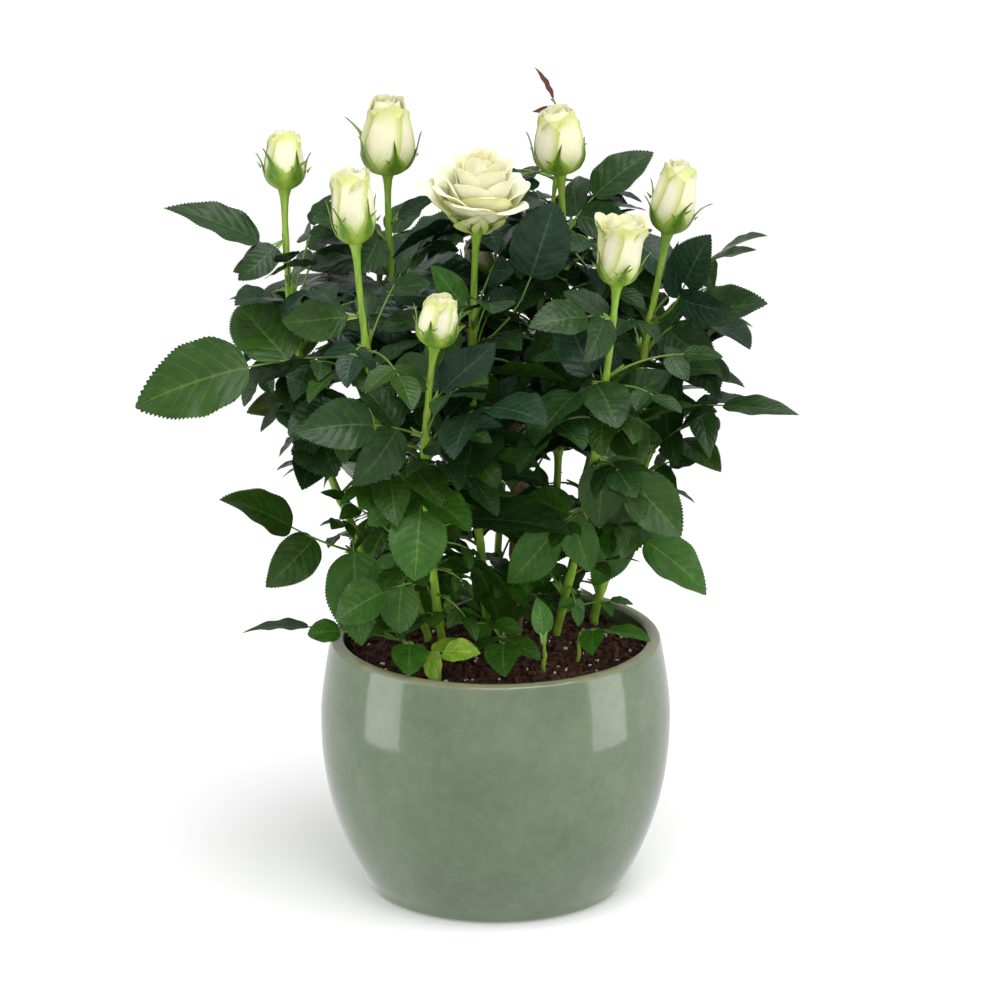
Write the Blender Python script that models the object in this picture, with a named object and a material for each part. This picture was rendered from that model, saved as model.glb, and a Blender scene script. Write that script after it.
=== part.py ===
"""A potted patio rose: a glazed pot, its soil, the canes and their leafy, flowering tops.

Metres, +Z up. The origin is the middle of the pot's flat underside, and the front of the plant faces -Y.
A heading is in degrees, anticlockwise from +X seen from above, so 270 points to the front.
"""

import math
import random
from dataclasses import dataclass, replace

import bmesh
import bpy
from mathutils import Matrix, Vector
from mathutils.bvhtree import BVHTree

MM = 0.001
CLEAR = 0.3 * MM  # gap that keeps two touching solids apart

# Pot: a squat bowl whose belly sits above the middle.
POT_HEIGHT = 142 * MM
BELLY_RADIUS = 95 * MM
BELLY_HEIGHT = 99 * MM
BASE_RADIUS = 68 * MM
RIM_RADIUS = 89 * MM
BASE_CURVE = 2.3  # how quickly the wall draws in below the belly
RIM_CURVE = 1.45  # and above it
WALL = 7 * MM
FLOOR = 9 * MM
BASE_EDGE = 3 * MM
POT_SIDES = 40
OUTER_RINGS = 6
INNER_RINGS = 5

# Soil: fills the pot to a finger below the rim, and is mounded in the middle.
SOIL_EDGE_HEIGHT = 131 * MM
SOIL_MOUND = 6 * MM

# Leaves: shares of the end leaflet's length, unless they say otherwise.
PAIR_GAP = 0.62
END_STALK = 0.34
SHORTEST_STALK = 0.03
SIDE_SIZES = (0.68, 0.86)  # lower pair, upper pair
SIDE_ANGLE = 64.0  # degrees between a side leaflet and the leaf's own stalk
SIDE_DROOP = 16.0  # degrees that a side leaflet hangs out of the leaf's plane
STALK_RADIUS = 0.95 * MM
STALK_TIP_RADIUS = 0.6 * MM
ROOT_FACE = 0.9 * MM  # half the length of stalk that a side leaflet grows from
BLADE_THICKNESS = 1 / 75
BLADE_OUTLINE = ((0.2, 0.76), (0.58, 0.94))  # along the blade, share of half the width
BLADE_MIDDLE = 0.42
LEAF_ROOM = 0.5 * MM  # extra thickness that keeps neighbouring leaves apart
TURN = 137.5  # degrees from one leaf to the next up a stem
LEAF_SPACING = 21 * MM
RING_SPACING = 35 * MM  # between a stem's rings
TRAINED_TURNS = (0, 7, -7, 14, -14)  # degrees to try, the best first
ORDINARY_TURNS = (0, 18, -18, 36, -36, 58, -58, 84, -84, 112, -112, 145, -145, 180)
LIFTS = (0, 12, -12, 26)
STALK_START = 2.2 * MM  # from a stem's bark, where a leaf's own room begins

# Crown: the widest that an ordinary leaf may reach at each height.
CROWN = ((140, 84), (175, 98), (220, 112), (265, 134), (315, 146), (350, 140), (388, 88))

# Open places between the canes, where no leaf grows: (x, height, radius) where each crosses the
# middle of the plant. They run from front to back, and rise to the front.
OPENINGS = ((39, 236, 8), (-1, 193, 6), (-99, 215, 8), (-78, 278, 4), (74, 170, 9),
            (92, 158, 8), (-106, 161, 9))
OPENING_RUN = 150 * MM
OPENING_RISE = 0.31
OPENING_SIDES = 8

# Ordinary leaves, by the rule: (least, most) of what varies from leaf to leaf.
RULE_START = 0.06  # share of the stem above its bough where the first of them grows
RULE_TURN = (-14, 14)
RULE_RISE = (6, 22)
RULE_RISE_GAIN = 34  # degrees more at the top of the stem than at its foot
RULE_SAG = (40, 75)
RULE_ROLL = (-22, 22)
RULE_SIZE = (0.9, 1.1)
RULE_STALK = (0.15, 0.35)
RULE_WIDTH = (0.6, 0.7)
RULE_CURL = (0.08, 0.24)
RULE_FOLD = (0.1, 0.32)
RULE_FIVE = 0.6  # share that have five leaflets
RULE_ROOM = 6 * MM  # along the stem from a trained leaf

# Buds: urn-shaped, widest a third of the way up, their petals' edges winding round in steps.
BUD_WIDEST = 0.34  # share of its height
BUD_FOOT = 0.32  # radius at its foot, in bud radii
BUD_TAPER = 1.6
BUD_SIDES = 12
BUD_RINGS = (0.0, 0.05, 0.14, 0.34, 0.6, 0.85, 1.0)
BUD_LAPS = 3
BUD_WIND = 0.9  # laps' turn from foot to top
BUD_STEP = 0.1  # depth of a step, in bud radii
BUD_HEART = 0.9  # height of the hollow top's middle, in bud heights

# Sepals: (share of the length, half the width) at each ring below the tip.
SEPALS = 5
SEPAL_RINGS = ((0.0, 2.4 * MM), (0.3, 3.2 * MM), (0.62, 1.4 * MM))
SEPAL_TURN = 0.2  # of the step between two sepals, off the bud's own corners
SEPAL_TIP = 0.8  # the tip's distance from the bud's axis before its flare, in bud radii
SUNK = 0.8 * MM  # that a sepal or petal starts below the flower's foot
SEPAL_SUNK = 2 * MM  # that its sides reach into the bud at its foot
SEPAL_BACK = 0.8 * MM  # that its back stands off the bud

# The open bloom: how far each ring of petals reaches out, and how high.
BLOOM_RINGS = ((25.5 * MM, 25 * MM), (22 * MM, 36 * MM))
PETALS = 5
PETAL_ROWS = ((0.1, 0.0, 0.25), (0.72, 0.42, 0.95), (1.0, 0.92, 0.8))  # shares: reach, lift, width
PETAL_HALF_WIDTH = 16 * MM
PETAL_HALF_THICKNESS = 0.7 * MM
PETAL_BOW = 0.22  # share of the reach that a petal's sides draw back
PETAL_CUP = 0.06  # share of the lift that they stand up
PETAL_VARIES = 0.04  # share of a step and of the lift that petals differ by

# Hip: (height from the stem's end, radius in stem radii) of the swelling under a flower.
HIP_RINGS = ((-14 * MM, 0.98), (-5 * MM, 1.35), (0.0, 1.9), (3 * MM, 1.7))
HIP_SIDES = 8
FLOWER_LIFT = 1 * MM  # from the stem's end to the flower's foot

# The room that leaves keep out of round a flower.
ROOM_SIDES = 8
ROOM_FOOT = 0.7  # its radius at the flower's foot, in bud radii
ROOM_SWELL = (0.4, 1.2)  # share of the sepals' length, and radius there in bud radii
ROOM_MARGIN = 1 * MM

CANE_SIDES = 8
TWIG_SIDES = 5
FOOT_CLEAR = 0.4 * MM  # between a cane and the soil


@dataclass(frozen=True)
class Leaf:
    """A leaf of 1, 3 or 5 leaflets on one stalk. Angles are in degrees."""

    at: float  # share of the stem's length, from its foot
    heading: float
    rise: float  # above level, where the stalk leaves the stem
    sag: float  # how far the stalk has bent down by its end
    roll: float  # about the stalk, positive to the right
    length: float  # of the end leaflet
    leaflets: int = 5
    stalk: float = 0.7  # from the stem to the first leaflets, in end leaflets
    width: float = 0.6
    curl: float = 0.16
    fold: float = 0.22
    lone: int = 0  # 1 or -1 where only the right or left leaflet of each pair has grown


@dataclass(frozen=True)
class Reach:
    """A leaf whose end leaflet's tip comes to a chosen point. Its stalk is as long as it takes."""

    at: float
    tip: tuple
    length: float
    roll: float
    sag: float
    leaflets: int = 5
    width: float = 0.64
    lone: int = 0


@dataclass(frozen=True)
class Flower:
    """A bud, or an open bloom, on the end of a stem."""

    height: float
    radius: float
    sepal_length: float
    sepal_flare: float  # how far the sepals' tips stand off the bud, in bud radii
    turn: float  # degrees
    mouth: float = 0.55  # radius at the top, in bud radii
    is_open: bool = False


@dataclass(frozen=True)
class Shoot:
    """One stem from the soil: its curve runs through foot, knee and head."""

    name: str
    foot: tuple
    knee: tuple
    head: tuple
    seed: int
    radius: float = 2.7 * MM
    tip_radius: float = 2.1 * MM
    bare: float = 0.16  # share that is a bough of its own, below the leaves
    leafy_to: float = 0.8
    first_heading: float = 0.0
    leaf_length: float = 46 * MM
    fill: bool = True  # also carries ordinary leaves by the rule
    trained: tuple = ()
    flower: Flower = None


def mm(*values):
    return tuple(v * MM for v in values)


SHOOTS = (
    Shoot("front", mm(-28, -8), mm(-37, -60, 240), mm(-32, -80, 328), 11, first_heading=200,
          leafy_to=0.62, bare=0.14, flower=Flower(27 * MM, 11 * MM, 24 * MM, 0.5, 20, 0.6),
          trained=(Reach(0.22, mm(-86, -37, 163), 30 * MM, roll=-51, sag=24, leaflets=3,
                         width=0.85),
                   Reach(0.53, mm(-42, -112, 209), 38 * MM, roll=0, sag=70, leaflets=3,
                         width=0.8),
                   Reach(0.69, mm(-110, -101, 294), 46 * MM, roll=-57, sag=16, leaflets=3,
                         width=0.62),
                   Reach(0.77, mm(0, -76, 329), 38 * MM, roll=62, sag=16, leaflets=1, width=0.6))),
    Shoot("left_front", mm(-36, 6), mm(-60, -34, 250), mm(-74, -40, 373), 23, first_heading=140,
          leafy_to=0.74, flower=Flower(38 * MM, 11.5 * MM, 24 * MM, 0.35, 300, 0.78),
          trained=(Reach(0.72, mm(-34, -66, 303), 36 * MM, roll=40, sag=40, leaflets=3),
                   Reach(0.75, mm(-192, -54, 291), 63 * MM, roll=-49, sag=16, leaflets=3,
                         width=0.66, lone=1),
                   Reach(0.84, mm(-113, -43, 328), 34 * MM, roll=-50, sag=16, leaflets=1,
                         width=0.7))),
    Shoot("left_far", mm(-48, 22), mm(-97, 4, 258), mm(-113, 20, 386), 37, first_heading=250,
          leafy_to=0.74, flower=Flower(30 * MM, 11 * MM, 22 * MM, 0.6, 80, 0.62),
          trained=(Reach(0.20, mm(-146, -20, 224), 44 * MM, roll=-50, sag=-15, leaflets=3,
                         lone=-1),
                   Reach(0.55, mm(-133, -8, 271), 30 * MM, roll=-29, sag=-8, leaflets=1,
                         width=0.66),
                   Reach(0.86, mm(-141, 11, 344), 22 * MM, roll=-40, sag=8, leaflets=1, width=0.6),
                   Reach(0.86, mm(-177, 10, 380), 54 * MM, roll=-29, sag=8, leaflets=1, width=0.5),
                   Reach(0.90, mm(-135, 1, 335), 28 * MM, roll=-29, sag=8, leaflets=1,
                         width=0.62))),
    Shoot("left_back", mm(-24, 42), mm(-50, 50, 262), mm(-58, 40, 390), 41, first_heading=90,
          leafy_to=0.72, flower=Flower(42 * MM, 15 * MM, 28 * MM, 0.75, 200, 0.5),
          trained=(Reach(0.80, mm(-105, 44, 333), 42 * MM, roll=-15, sag=16, leaflets=1,
                         width=0.6),
                   Reach(0.83, mm(-99, 10, 374), 38 * MM, roll=-36, sag=32, leaflets=3),
                   Reach(0.88, mm(-34, 30, 376), 28 * MM, roll=50, sag=20, leaflets=1,
                         width=0.4))),
    Shoot("centre", mm(-4, 26), mm(-12, 2, 255), mm(-10, -20, 374), 53, first_heading=30,
          leafy_to=0.76, flower=Flower(44 * MM, 18.5 * MM, 22 * MM, 1.0, 10, 0.72, is_open=True),
          trained=(Reach(0.48, mm(15, 3, 287), 36 * MM, roll=74, sag=-8, leaflets=1),
                   Reach(0.71, mm(32, -22, 390), 42 * MM, roll=103, sag=-40, leaflets=1,
                         width=0.75),
                   Reach(0.79, mm(-35, -13, 352), 28 * MM, roll=-74, sag=0, leaflets=1,
                         width=0.56))),
    Shoot("back", mm(24, 46), mm(36, 50, 262), mm(35, 40, 390), 67, first_heading=330,
          leafy_to=0.82, flower=Flower(36 * MM, 14 * MM, 26 * MM, 0.55, 250, 0.55),
          trained=(Reach(0.85, mm(74, 60, 413), 40 * MM, roll=-30, sag=20, leaflets=3, width=0.6),)),
    Shoot("right_front", mm(33, 18), mm(52, -32, 246), mm(64, -50, 353), 79, first_heading=300,
          leafy_to=0.7, bare=0.2, flower=Flower(35 * MM, 11.5 * MM, 20 * MM, 0.5, 340, 1.15),
          trained=(Reach(0.74, mm(19, -90, 277), 42 * MM, roll=0, sag=35, leaflets=3, width=0.75),
                   Reach(0.54, mm(100, -35, 209), 44 * MM, roll=59, sag=16, leaflets=3,
                         width=0.66),
                   Reach(0.39, mm(1, -32, 188), 38 * MM, roll=-53, sag=24, leaflets=3, width=0.62),
                   Reach(0.64, mm(94, -43, 303), 38 * MM, roll=57, sag=0, leaflets=1, width=0.6),
                   Reach(0.67, mm(14, -43, 317), 42 * MM, roll=-67, sag=16, leaflets=1, width=0.7),
                   Reach(0.91, mm(20, -73, 337), 34 * MM, roll=-41, sag=16, leaflets=3,
                         width=0.66))),
    Shoot("right", mm(54, 44), mm(70, 18, 240), mm(92, 10, 365), 83, first_heading=20,
          leafy_to=0.74, flower=Flower(38 * MM, 12 * MM, 24 * MM, 0.6, 130, 0.6),
          trained=(Reach(0.59, mm(160, -31, 273), 42 * MM, roll=18, sag=16, leaflets=3,
                         width=0.42),
                   Reach(0.72, mm(145, -10, 333), 44 * MM, roll=40, sag=40, leaflets=3),
                   Reach(0.82, mm(144, -37, 377), 34 * MM, roll=16, sag=16, leaflets=3,
                         width=0.5),
                   Reach(0.81, mm(112, -23, 389), 36 * MM, roll=107, sag=-40, leaflets=3,
                         width=0.7),
                   Reach(0.66, mm(124, -27, 317), 30 * MM, roll=34, sag=8, leaflets=3, width=0.6),
                   Reach(0.41, mm(124, -42, 261), 30 * MM, roll=28, sag=8, leaflets=3, width=0.6),
                   Reach(0.34, mm(117, 17, 162), 44 * MM, roll=49, sag=-24, leaflets=3,
                         width=0.6))),
    Shoot("tall_shoot", mm(12, 62), mm(22, 66, 280), mm(38, 66, 421), 101, 2.2 * MM, 1.1 * MM,
          first_heading=60, leafy_to=0.7,
          trained=(Reach(0.97, mm(21, 72, 440), 20 * MM, roll=0, sag=-12, leaflets=3,
                         width=0.2),)),
    Shoot("rear_left", mm(-34, 52), mm(-54, 72, 238), mm(-64, 80, 322), 113, 2.5 * MM, 1.3 * MM,
          first_heading=130, leafy_to=1.0,
          trained=(Reach(0.78, mm(-92, 108, 304), 40 * MM, roll=0, sag=35, leaflets=3),
                   Reach(0.52, mm(-104, 86, 234), 42 * MM, roll=0, sag=50, leaflets=3),
                   Reach(0.32, mm(-48, 112, 198), 38 * MM, roll=0, sag=50, leaflets=3))),
    Shoot("rear", mm(0, 60), mm(2, 84, 240), mm(-6, 98, 312), 127, 2.5 * MM, 2 * MM,
          first_heading=80, leafy_to=0.8, flower=Flower(24 * MM, 9 * MM, 20 * MM, 0.4, 20, 0.5),
          trained=(Reach(0.66, mm(32, 132, 270), 40 * MM, roll=0, sag=40, leaflets=3),
                   Reach(0.42, mm(-20, 124, 214), 40 * MM, roll=0, sag=55, leaflets=3))),
    Shoot("rear_right", mm(36, 60), mm(54, 74, 238), mm(62, 82, 326), 131, 2.5 * MM, 1.3 * MM,
          first_heading=20, leafy_to=1.0,
          trained=(Reach(0.80, mm(92, 114, 306), 40 * MM, roll=0, sag=35, leaflets=3),
                   Reach(0.46, mm(64, 126, 232), 40 * MM, roll=0, sag=50, leaflets=3))),
    Shoot("right_far", mm(52, 50), mm(84, 54, 225), mm(98, 46, 306), 97, 2.3 * MM, 1.4 * MM,
          first_heading=330, bare=0.2, leafy_to=1.0,
          trained=(Reach(0.45, mm(117, 34, 234), 26 * MM, roll=45, sag=8, leaflets=3, width=0.6),
                   Reach(0.85, mm(133, 40, 306), 26 * MM, roll=43, sag=8, leaflets=3, width=0.6))),
    Shoot("old_wood", mm(10, 14), mm(12, 12, 200), mm(8, 8, 268), 139, 4.0 * MM, 3.0 * MM,
          bare=0.5, first_heading=280, leafy_to=0.95),
    Shoot("spray_left", mm(-46, -14), mm(-50, -16, 142), mm(-54, -18, 150), 149, 1.4 * MM,
          1.1 * MM, bare=0, fill=False,
          trained=(Reach(0.60, mm(-101, -37, 154), 18 * MM, roll=-39, sag=16, leaflets=1,
                         width=0.8),
                   Reach(0.97, mm(-137, -21, 149), 36 * MM, roll=-8, sag=0, leaflets=1,
                         width=0.42))),
    Shoot("spray_front_left", mm(-46, -44), mm(-46, -46, 143), mm(-46, -47, 152), 151,
          1.3 * MM, 1.0 * MM, bare=0, fill=False,
          trained=(Reach(0.70, mm(-8, -78, 146), 24 * MM, roll=37, sag=0, leaflets=3, width=0.6),
                   Reach(0.96, mm(-46, -76, 144), 24 * MM, roll=0, sag=75, leaflets=1,
                         width=0.8))),
    Shoot("spray_front", mm(4, -42), mm(4, -43, 145), mm(4, -45, 156), 157, 1.4 * MM, 1.1 * MM,
          bare=0, fill=False,
          trained=(Reach(0.97, mm(4, -84, 147), 28 * MM, roll=0, sag=25, leaflets=3, width=0.7),
                   Reach(0.80, mm(-10, -55, 168), 24 * MM, roll=0, sag=20, leaflets=1))),
    Shoot("spray_right", mm(44, -26), mm(45, -27, 144), mm(46, -28, 152), 163, 1.4 * MM,
          1.1 * MM, bare=0, fill=False,
          trained=(Reach(0.96, mm(82, -50, 154), 26 * MM, roll=0, sag=25, leaflets=3),)),
    Shoot("spray_middle", mm(26, -40), mm(26, -41, 143), mm(26, -42, 150), 167, 1.3 * MM,
          1.0 * MM, bare=0, fill=False,
          trained=(Reach(0.50, mm(24, -36, 162), 20 * MM, roll=0, sag=10, leaflets=1),)),)


# ---------------------------------------------------------------- meshes


def clear_scene():
    for obj in list(bpy.data.objects):
        bpy.data.objects.remove(obj, do_unlink=True)


def material(name, colour, roughness):
    """A plain Principled finish in that colour."""
    made = bpy.data.materials.new(name)
    made.use_nodes = True
    shader = made.node_tree.nodes["Principled BSDF"]
    shader.inputs["Base Color"].default_value = (*colour, 1)
    shader.inputs["Roughness"].default_value = roughness
    return made


def solid(name, points, faces, finish=None):
    """An object from points and faces, its normals made to face out."""
    mesh = bpy.data.meshes.new(name)
    mesh.from_pydata([tuple(p) for p in points], [], faces)
    work = bmesh.new()
    work.from_mesh(mesh)
    bmesh.ops.recalc_face_normals(work, faces=work.faces)
    work.to_mesh(mesh)
    work.free()
    if finish:
        mesh.materials.append(finish)
    obj = bpy.data.objects.new(name, mesh)
    bpy.context.collection.objects.link(obj)
    return obj


def turned(name, profile, sides, finish):
    """A profile of (radius, height) spun about Z. Its first and last points lie on the axis."""
    work = bmesh.new()
    line = [work.verts.new((radius, 0, height)) for radius, height in profile]
    edges = [work.edges.new(pair) for pair in zip(line, line[1:])]
    bmesh.ops.spin(work, geom=line + edges, cent=(0, 0, 0), axis=(0, 0, 1),
                   angle=2 * math.pi, steps=sides, use_merge=True)
    bmesh.ops.remove_doubles(work, verts=work.verts, dist=MM / 100)
    bmesh.ops.recalc_face_normals(work, faces=work.faces)
    mesh = bpy.data.meshes.new(name)
    work.to_mesh(mesh)
    work.free()
    mesh.materials.append(finish)
    mesh.shade_smooth()
    obj = bpy.data.objects.new(name, mesh)
    bpy.context.collection.objects.link(obj)
    return obj


def tube_shape(centres, radii, ways, sides):
    """Points and faces of a closed tube through centres, each ring square to its own way."""
    points, faces = [], []
    side = Vector((1, 0, 0))
    for centre, radius, way in zip(centres, radii, ways):
        side = (side - way * side.dot(way)).normalized()
        across = way.cross(side)
        for k in range(sides):
            angle = 2 * math.pi * k / sides
            points.append(centre + (side * math.cos(angle) + across * math.sin(angle)) * radius)
    for i in range(len(centres) - 1):
        for k in range(sides):
            a, b = i * sides + k, i * sides + (k + 1) % sides
            faces.append((a, b, b + sides, a + sides))
    last = (len(centres) - 1) * sides
    faces.append(tuple(range(sides)))
    faces.append(tuple(range(last, last + sides)))
    return points, faces


# ---------------------------------------------------------------- pot and soil


def pot_radius(height):
    """Outer radius of the pot's wall."""
    if height < BELLY_HEIGHT:
        share = (BELLY_HEIGHT - height) / BELLY_HEIGHT
        return BELLY_RADIUS - (BELLY_RADIUS - BASE_RADIUS) * share**BASE_CURVE
    share = (height - BELLY_HEIGHT) / (POT_HEIGHT - BELLY_HEIGHT)
    return BELLY_RADIUS - (BELLY_RADIUS - RIM_RADIUS) * share**RIM_CURVE


def wall_heights(low, high, rings):
    return [low + (high - low) * i / rings for i in range(rings + 1)]


def inner_wall(gap=0.0):
    """The pot's inside, from the floor's edge to the lip, drawn in by a gap."""
    heights = wall_heights(FLOOR + BASE_EDGE, POT_HEIGHT - WALL / 2, INNER_RINGS)
    return [(pot_radius(z) - WALL - gap, z) for z in heights]


def build_pot(finish):
    """The bowl: flat underside, curved wall, rounded lip and an inside that follows the wall."""
    lip = WALL / 2
    outer = [(pot_radius(z), z) for z in wall_heights(BASE_EDGE, POT_HEIGHT - lip, OUTER_RINGS)]
    middle = pot_radius(POT_HEIGHT - lip) - lip
    arc = [(middle + lip * math.cos(a), POT_HEIGHT - lip + lip * math.sin(a))
           for a in (math.radians(d) for d in (45, 90, 135))]
    inner = inner_wall()
    floor_edge = (inner[0][0] - BASE_EDGE, FLOOR)
    base_edge = (pot_radius(BASE_EDGE) - BASE_EDGE * 0.7, 0)
    profile = [(0, 0), base_edge, *outer, *arc, *reversed(inner), floor_edge, (0, FLOOR)]
    return turned("pot", profile, POT_SIDES, finish)


def soil_height(x, y):
    """Height of the mounded soil over a point."""
    edge = pot_radius(SOIL_EDGE_HEIGHT) - WALL
    share = min(1.0, math.hypot(x, y) / edge)
    return SOIL_EDGE_HEIGHT + SOIL_MOUND * (1 - share**2.2)


def build_soil(finish):
    """The root ball and soil, which fill the pot from its floor."""
    wall = [(radius, z) for radius, z in inner_wall(CLEAR) if z < SOIL_EDGE_HEIGHT]
    edge = pot_radius(SOIL_EDGE_HEIGHT) - WALL - 2 * CLEAR
    top = [(edge * s, soil_height(edge * s, 0)) for s in (1, 0.8, 0.55, 0.3)]
    foot = (wall[0][0] - BASE_EDGE, FLOOR + CLEAR)
    profile = [(0, FLOOR + CLEAR), foot, *wall, *top, (0, soil_height(0, 0))]
    return turned("potting_soil", profile, POT_SIDES, finish)


# ---------------------------------------------------------------- stems


class Stem:
    """A shoot's centre line and its radius, by the share of its length from the foot."""

    def __init__(self, shoot):
        self.shoot = shoot
        x, y = shoot.foot
        self.foot = Vector((x, y, soil_height(x, y) + FOOT_CLEAR))
        self.knee = Vector(shoot.knee)
        self.head = Vector(shoot.head)

    def point(self, t):
        return (self.foot * (1 - t) * (1 - 2 * t) + self.knee * 4 * t * (1 - t)
                + self.head * t * (2 * t - 1))

    def direction(self, t):
        return (self.foot * (4 * t - 3) + self.knee * (4 - 8 * t)
                + self.head * (4 * t - 1)).normalized()

    def length(self):
        steps = [self.point(i / 20) for i in range(21)]
        return sum((b - a).length for a, b in zip(steps, steps[1:]))

    def radius(self, t):
        shoot = self.shoot
        return shoot.radius + (shoot.tip_radius - shoot.radius) * t

    def tube(self, start, end, sides, extra=0.0):
        """Points and faces of the stem between two shares. Its foot is cut level with the soil."""
        count = max(2, round(self.length() * (end - start) / RING_SPACING)) + 1
        shares = [start + (end - start) * i / (count - 1) for i in range(count)]
        ways = [self.direction(t) if t else Vector((0, 0, 1)) for t in shares]
        return tube_shape([self.point(t) for t in shares],
                          [self.radius(t) + extra for t in shares], ways, sides)


# ---------------------------------------------------------------- leaves


class LeafFrame:
    """Where the stalk and leaflets of a leaf on a stem lie."""

    def __init__(self, leaf, stem):
        self.leaf = leaf
        heading, rise = math.radians(leaf.heading), math.radians(leaf.rise)
        level = Vector((math.cos(heading), math.sin(heading), 0))
        self.ahead = level * math.cos(rise) + Vector((0, 0, math.sin(rise)))
        self.up = Vector((0, 0, math.cos(rise))) - level * math.sin(rise)
        self.root = stem.point(leaf.at)
        slant = self.ahead.cross(stem.direction(leaf.at)).length
        self.bark = (stem.radius(leaf.at) + STALK_START) / max(0.3, slant)
        self.pairs = (leaf.leaflets - 1) // 2
        self.first = leaf.stalk * leaf.length + self.bark
        self.span = self.first
        if self.pairs:
            self.span += ((self.pairs - 1) * PAIR_GAP + END_STALK) * leaf.length

    def axes(self, s):
        """Along, right and up at a distance s along the stalk, which sags in its own plane."""
        bend, roll = math.radians(self.leaf.sag) * s / self.span, math.radians(self.leaf.roll)
        ahead = self.ahead * math.cos(bend) - self.up * math.sin(bend)
        up = self.up * math.cos(bend) + self.ahead * math.sin(bend)
        up = up * math.cos(roll) + ahead.cross(up) * math.sin(roll)
        return ahead, ahead.cross(up), up

    def point(self, s):
        steps = 8
        place = self.root.copy()
        for i in range(steps):
            place += self.axes(s * (i + 0.5) / steps)[0] * (s / steps)
        return place

    def stalk_radius(self, s):
        return STALK_RADIUS + (STALK_TIP_RADIUS - STALK_RADIUS) * s / self.span

    def pair_places(self):
        return [self.first + i * PAIR_GAP * self.leaf.length for i in range(self.pairs)]

    def side_blade(self, s, size, side):
        """Base, along, across, up and length of the leaflet on one side, 1 right or -1 left."""
        ahead, right, up = self.axes(s)
        angle, droop = math.radians(SIDE_ANGLE), math.radians(SIDE_DROOP)
        out = ahead * math.cos(angle) + right * side * math.sin(angle)
        along = out * math.cos(droop) - up * math.sin(droop)
        rise = up * math.cos(droop) + out * math.sin(droop)
        return self.point(s), along, along.cross(rise), rise, size * self.leaf.length

    def end_blade(self):
        ahead, right, up = self.axes(self.span)
        return self.point(self.span), ahead, right, up, self.leaf.length


def blade_point(leaf, blade, u, v):
    """A point of a leaflet: u runs from its base to its tip, v from -1 to 1 across half its width."""
    base, along, across, up, length = blade
    half = v * leaf.width * length / 2
    lift = leaf.fold * abs(half) - leaf.curl * length * u * u
    return base + along * (u * length) + across * half + up * lift


def aimed(reach, stem):
    """The leaf that a Reach asks for: its heading, rise and stalk are found by steps."""
    root = stem.point(reach.at)
    wanted = polar(Vector(reach.tip) - root)
    _, heading, rise = wanted
    stalk = 0.3
    for _ in range(12):
        leaf = Leaf(reach.at, heading, rise, reach.sag, reach.roll, reach.length, reach.leaflets,
                    stalk, reach.width, lone=reach.lone)
        got = polar(blade_point(leaf, LeafFrame(leaf, stem).end_blade(), 1.0, 0.0) - root)
        stalk = max(SHORTEST_STALK, stalk + (wanted[0] - got[0]) / reach.length)
        heading += wanted[1] - got[1]
        rise += wanted[2] - got[2]
    return leaf


def polar(vector):
    """Length, heading and rise of a vector, the last two in degrees."""
    level = math.hypot(vector.x, vector.y)
    return (vector.length, math.degrees(math.atan2(vector.y, vector.x)),
            math.degrees(math.atan2(vector.z, level)))


def leaf_shape(frame, room=0.0, start=0.0):
    """Points and faces of a leaf, its leaflets grown out of the faces of its stalk.

    Room makes it thicker, and start leaves out the first of its stalk.
    """
    leaf, points, faces = frame.leaf, [], []

    def ring(s):
        ahead, right, up = frame.axes(s)
        centre, radius = frame.point(s), frame.stalk_radius(s) + room
        points.extend((centre - right * radius + up * radius * 0.5,
                       centre + right * radius + up * radius * 0.5, centre - up * radius))
        return len(points) - 3

    def grow(blade, top, bottom):
        """A leaflet from the edge between the points top, with the points bottom under it."""
        ahead = [blade_point(leaf, blade, u, -v) for u, v in BLADE_OUTLINE]
        back = [blade_point(leaf, blade, u, v) for u, v in reversed(BLADE_OUTLINE)]
        first = len(points)
        points.extend([*ahead, blade_point(leaf, blade, 1.0, 0.0), *back])
        middle = blade_point(leaf, blade, BLADE_MIDDLE, 0.0)
        half = blade[3] * (BLADE_THICKNESS * blade[4] / 2 + room)
        points.extend((middle + half, middle - half))
        rim = list(range(first, first + 5))
        over, under = first + 5, first + 6
        for loop, hub in (([top[0], *rim, top[1]], over), ([bottom[0], *rim, bottom[-1]], under)):
            faces.extend((a, b, hub) for a, b in zip(loop, loop[1:]))
        faces.append((top[1], top[0], over))
        if len(bottom) > 1:
            faces.append((bottom[1], bottom[0], under))
        faces.extend(((top[0], bottom[0], rim[0]), (top[1], bottom[-1], rim[-1])))

    previous = ring(start)
    faces.append((previous, previous + 1, previous + 2))
    for s, size in zip(frame.pair_places(), SIDE_SIZES[-frame.pairs:] if frame.pairs else ()):
        near = ring(s - ROOT_FACE)
        far = ring(s + ROOT_FACE)
        join(faces, previous, near, (0, 1, 2))
        join(faces, near, far, (0,))
        for side, face, top, bottom in ((-1, 2, (near, far), (near + 2, far + 2)),
                                        (1, 1, (far + 1, near + 1), (far + 2, near + 2))):
            if leaf.lone in (0, side):
                grow(frame.side_blade(s, size, side), top, bottom)
            else:
                join(faces, near, far, (face,))
        previous = far
    end = ring(frame.span)
    join(faces, previous, end, (0, 1, 2))
    grow(frame.end_blade(), (end, end + 1), (end + 2,))
    return points, faces


def join(faces, a, b, sides):
    """Quads between two three-point rings, on the sides asked for."""
    for k in sides:
        n = (k + 1) % 3
        faces.append((a + k, a + n, b + n, b + k))


# ---------------------------------------------------------------- flowers


def flower_axes(stem, flower):
    along = stem.direction(1.0)
    side = Vector((1, 0, 0)) - along * along.x
    side.normalize()
    side = Matrix.Rotation(math.radians(flower.turn), 3, along) @ side
    return along, side, along.cross(side)


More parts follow.
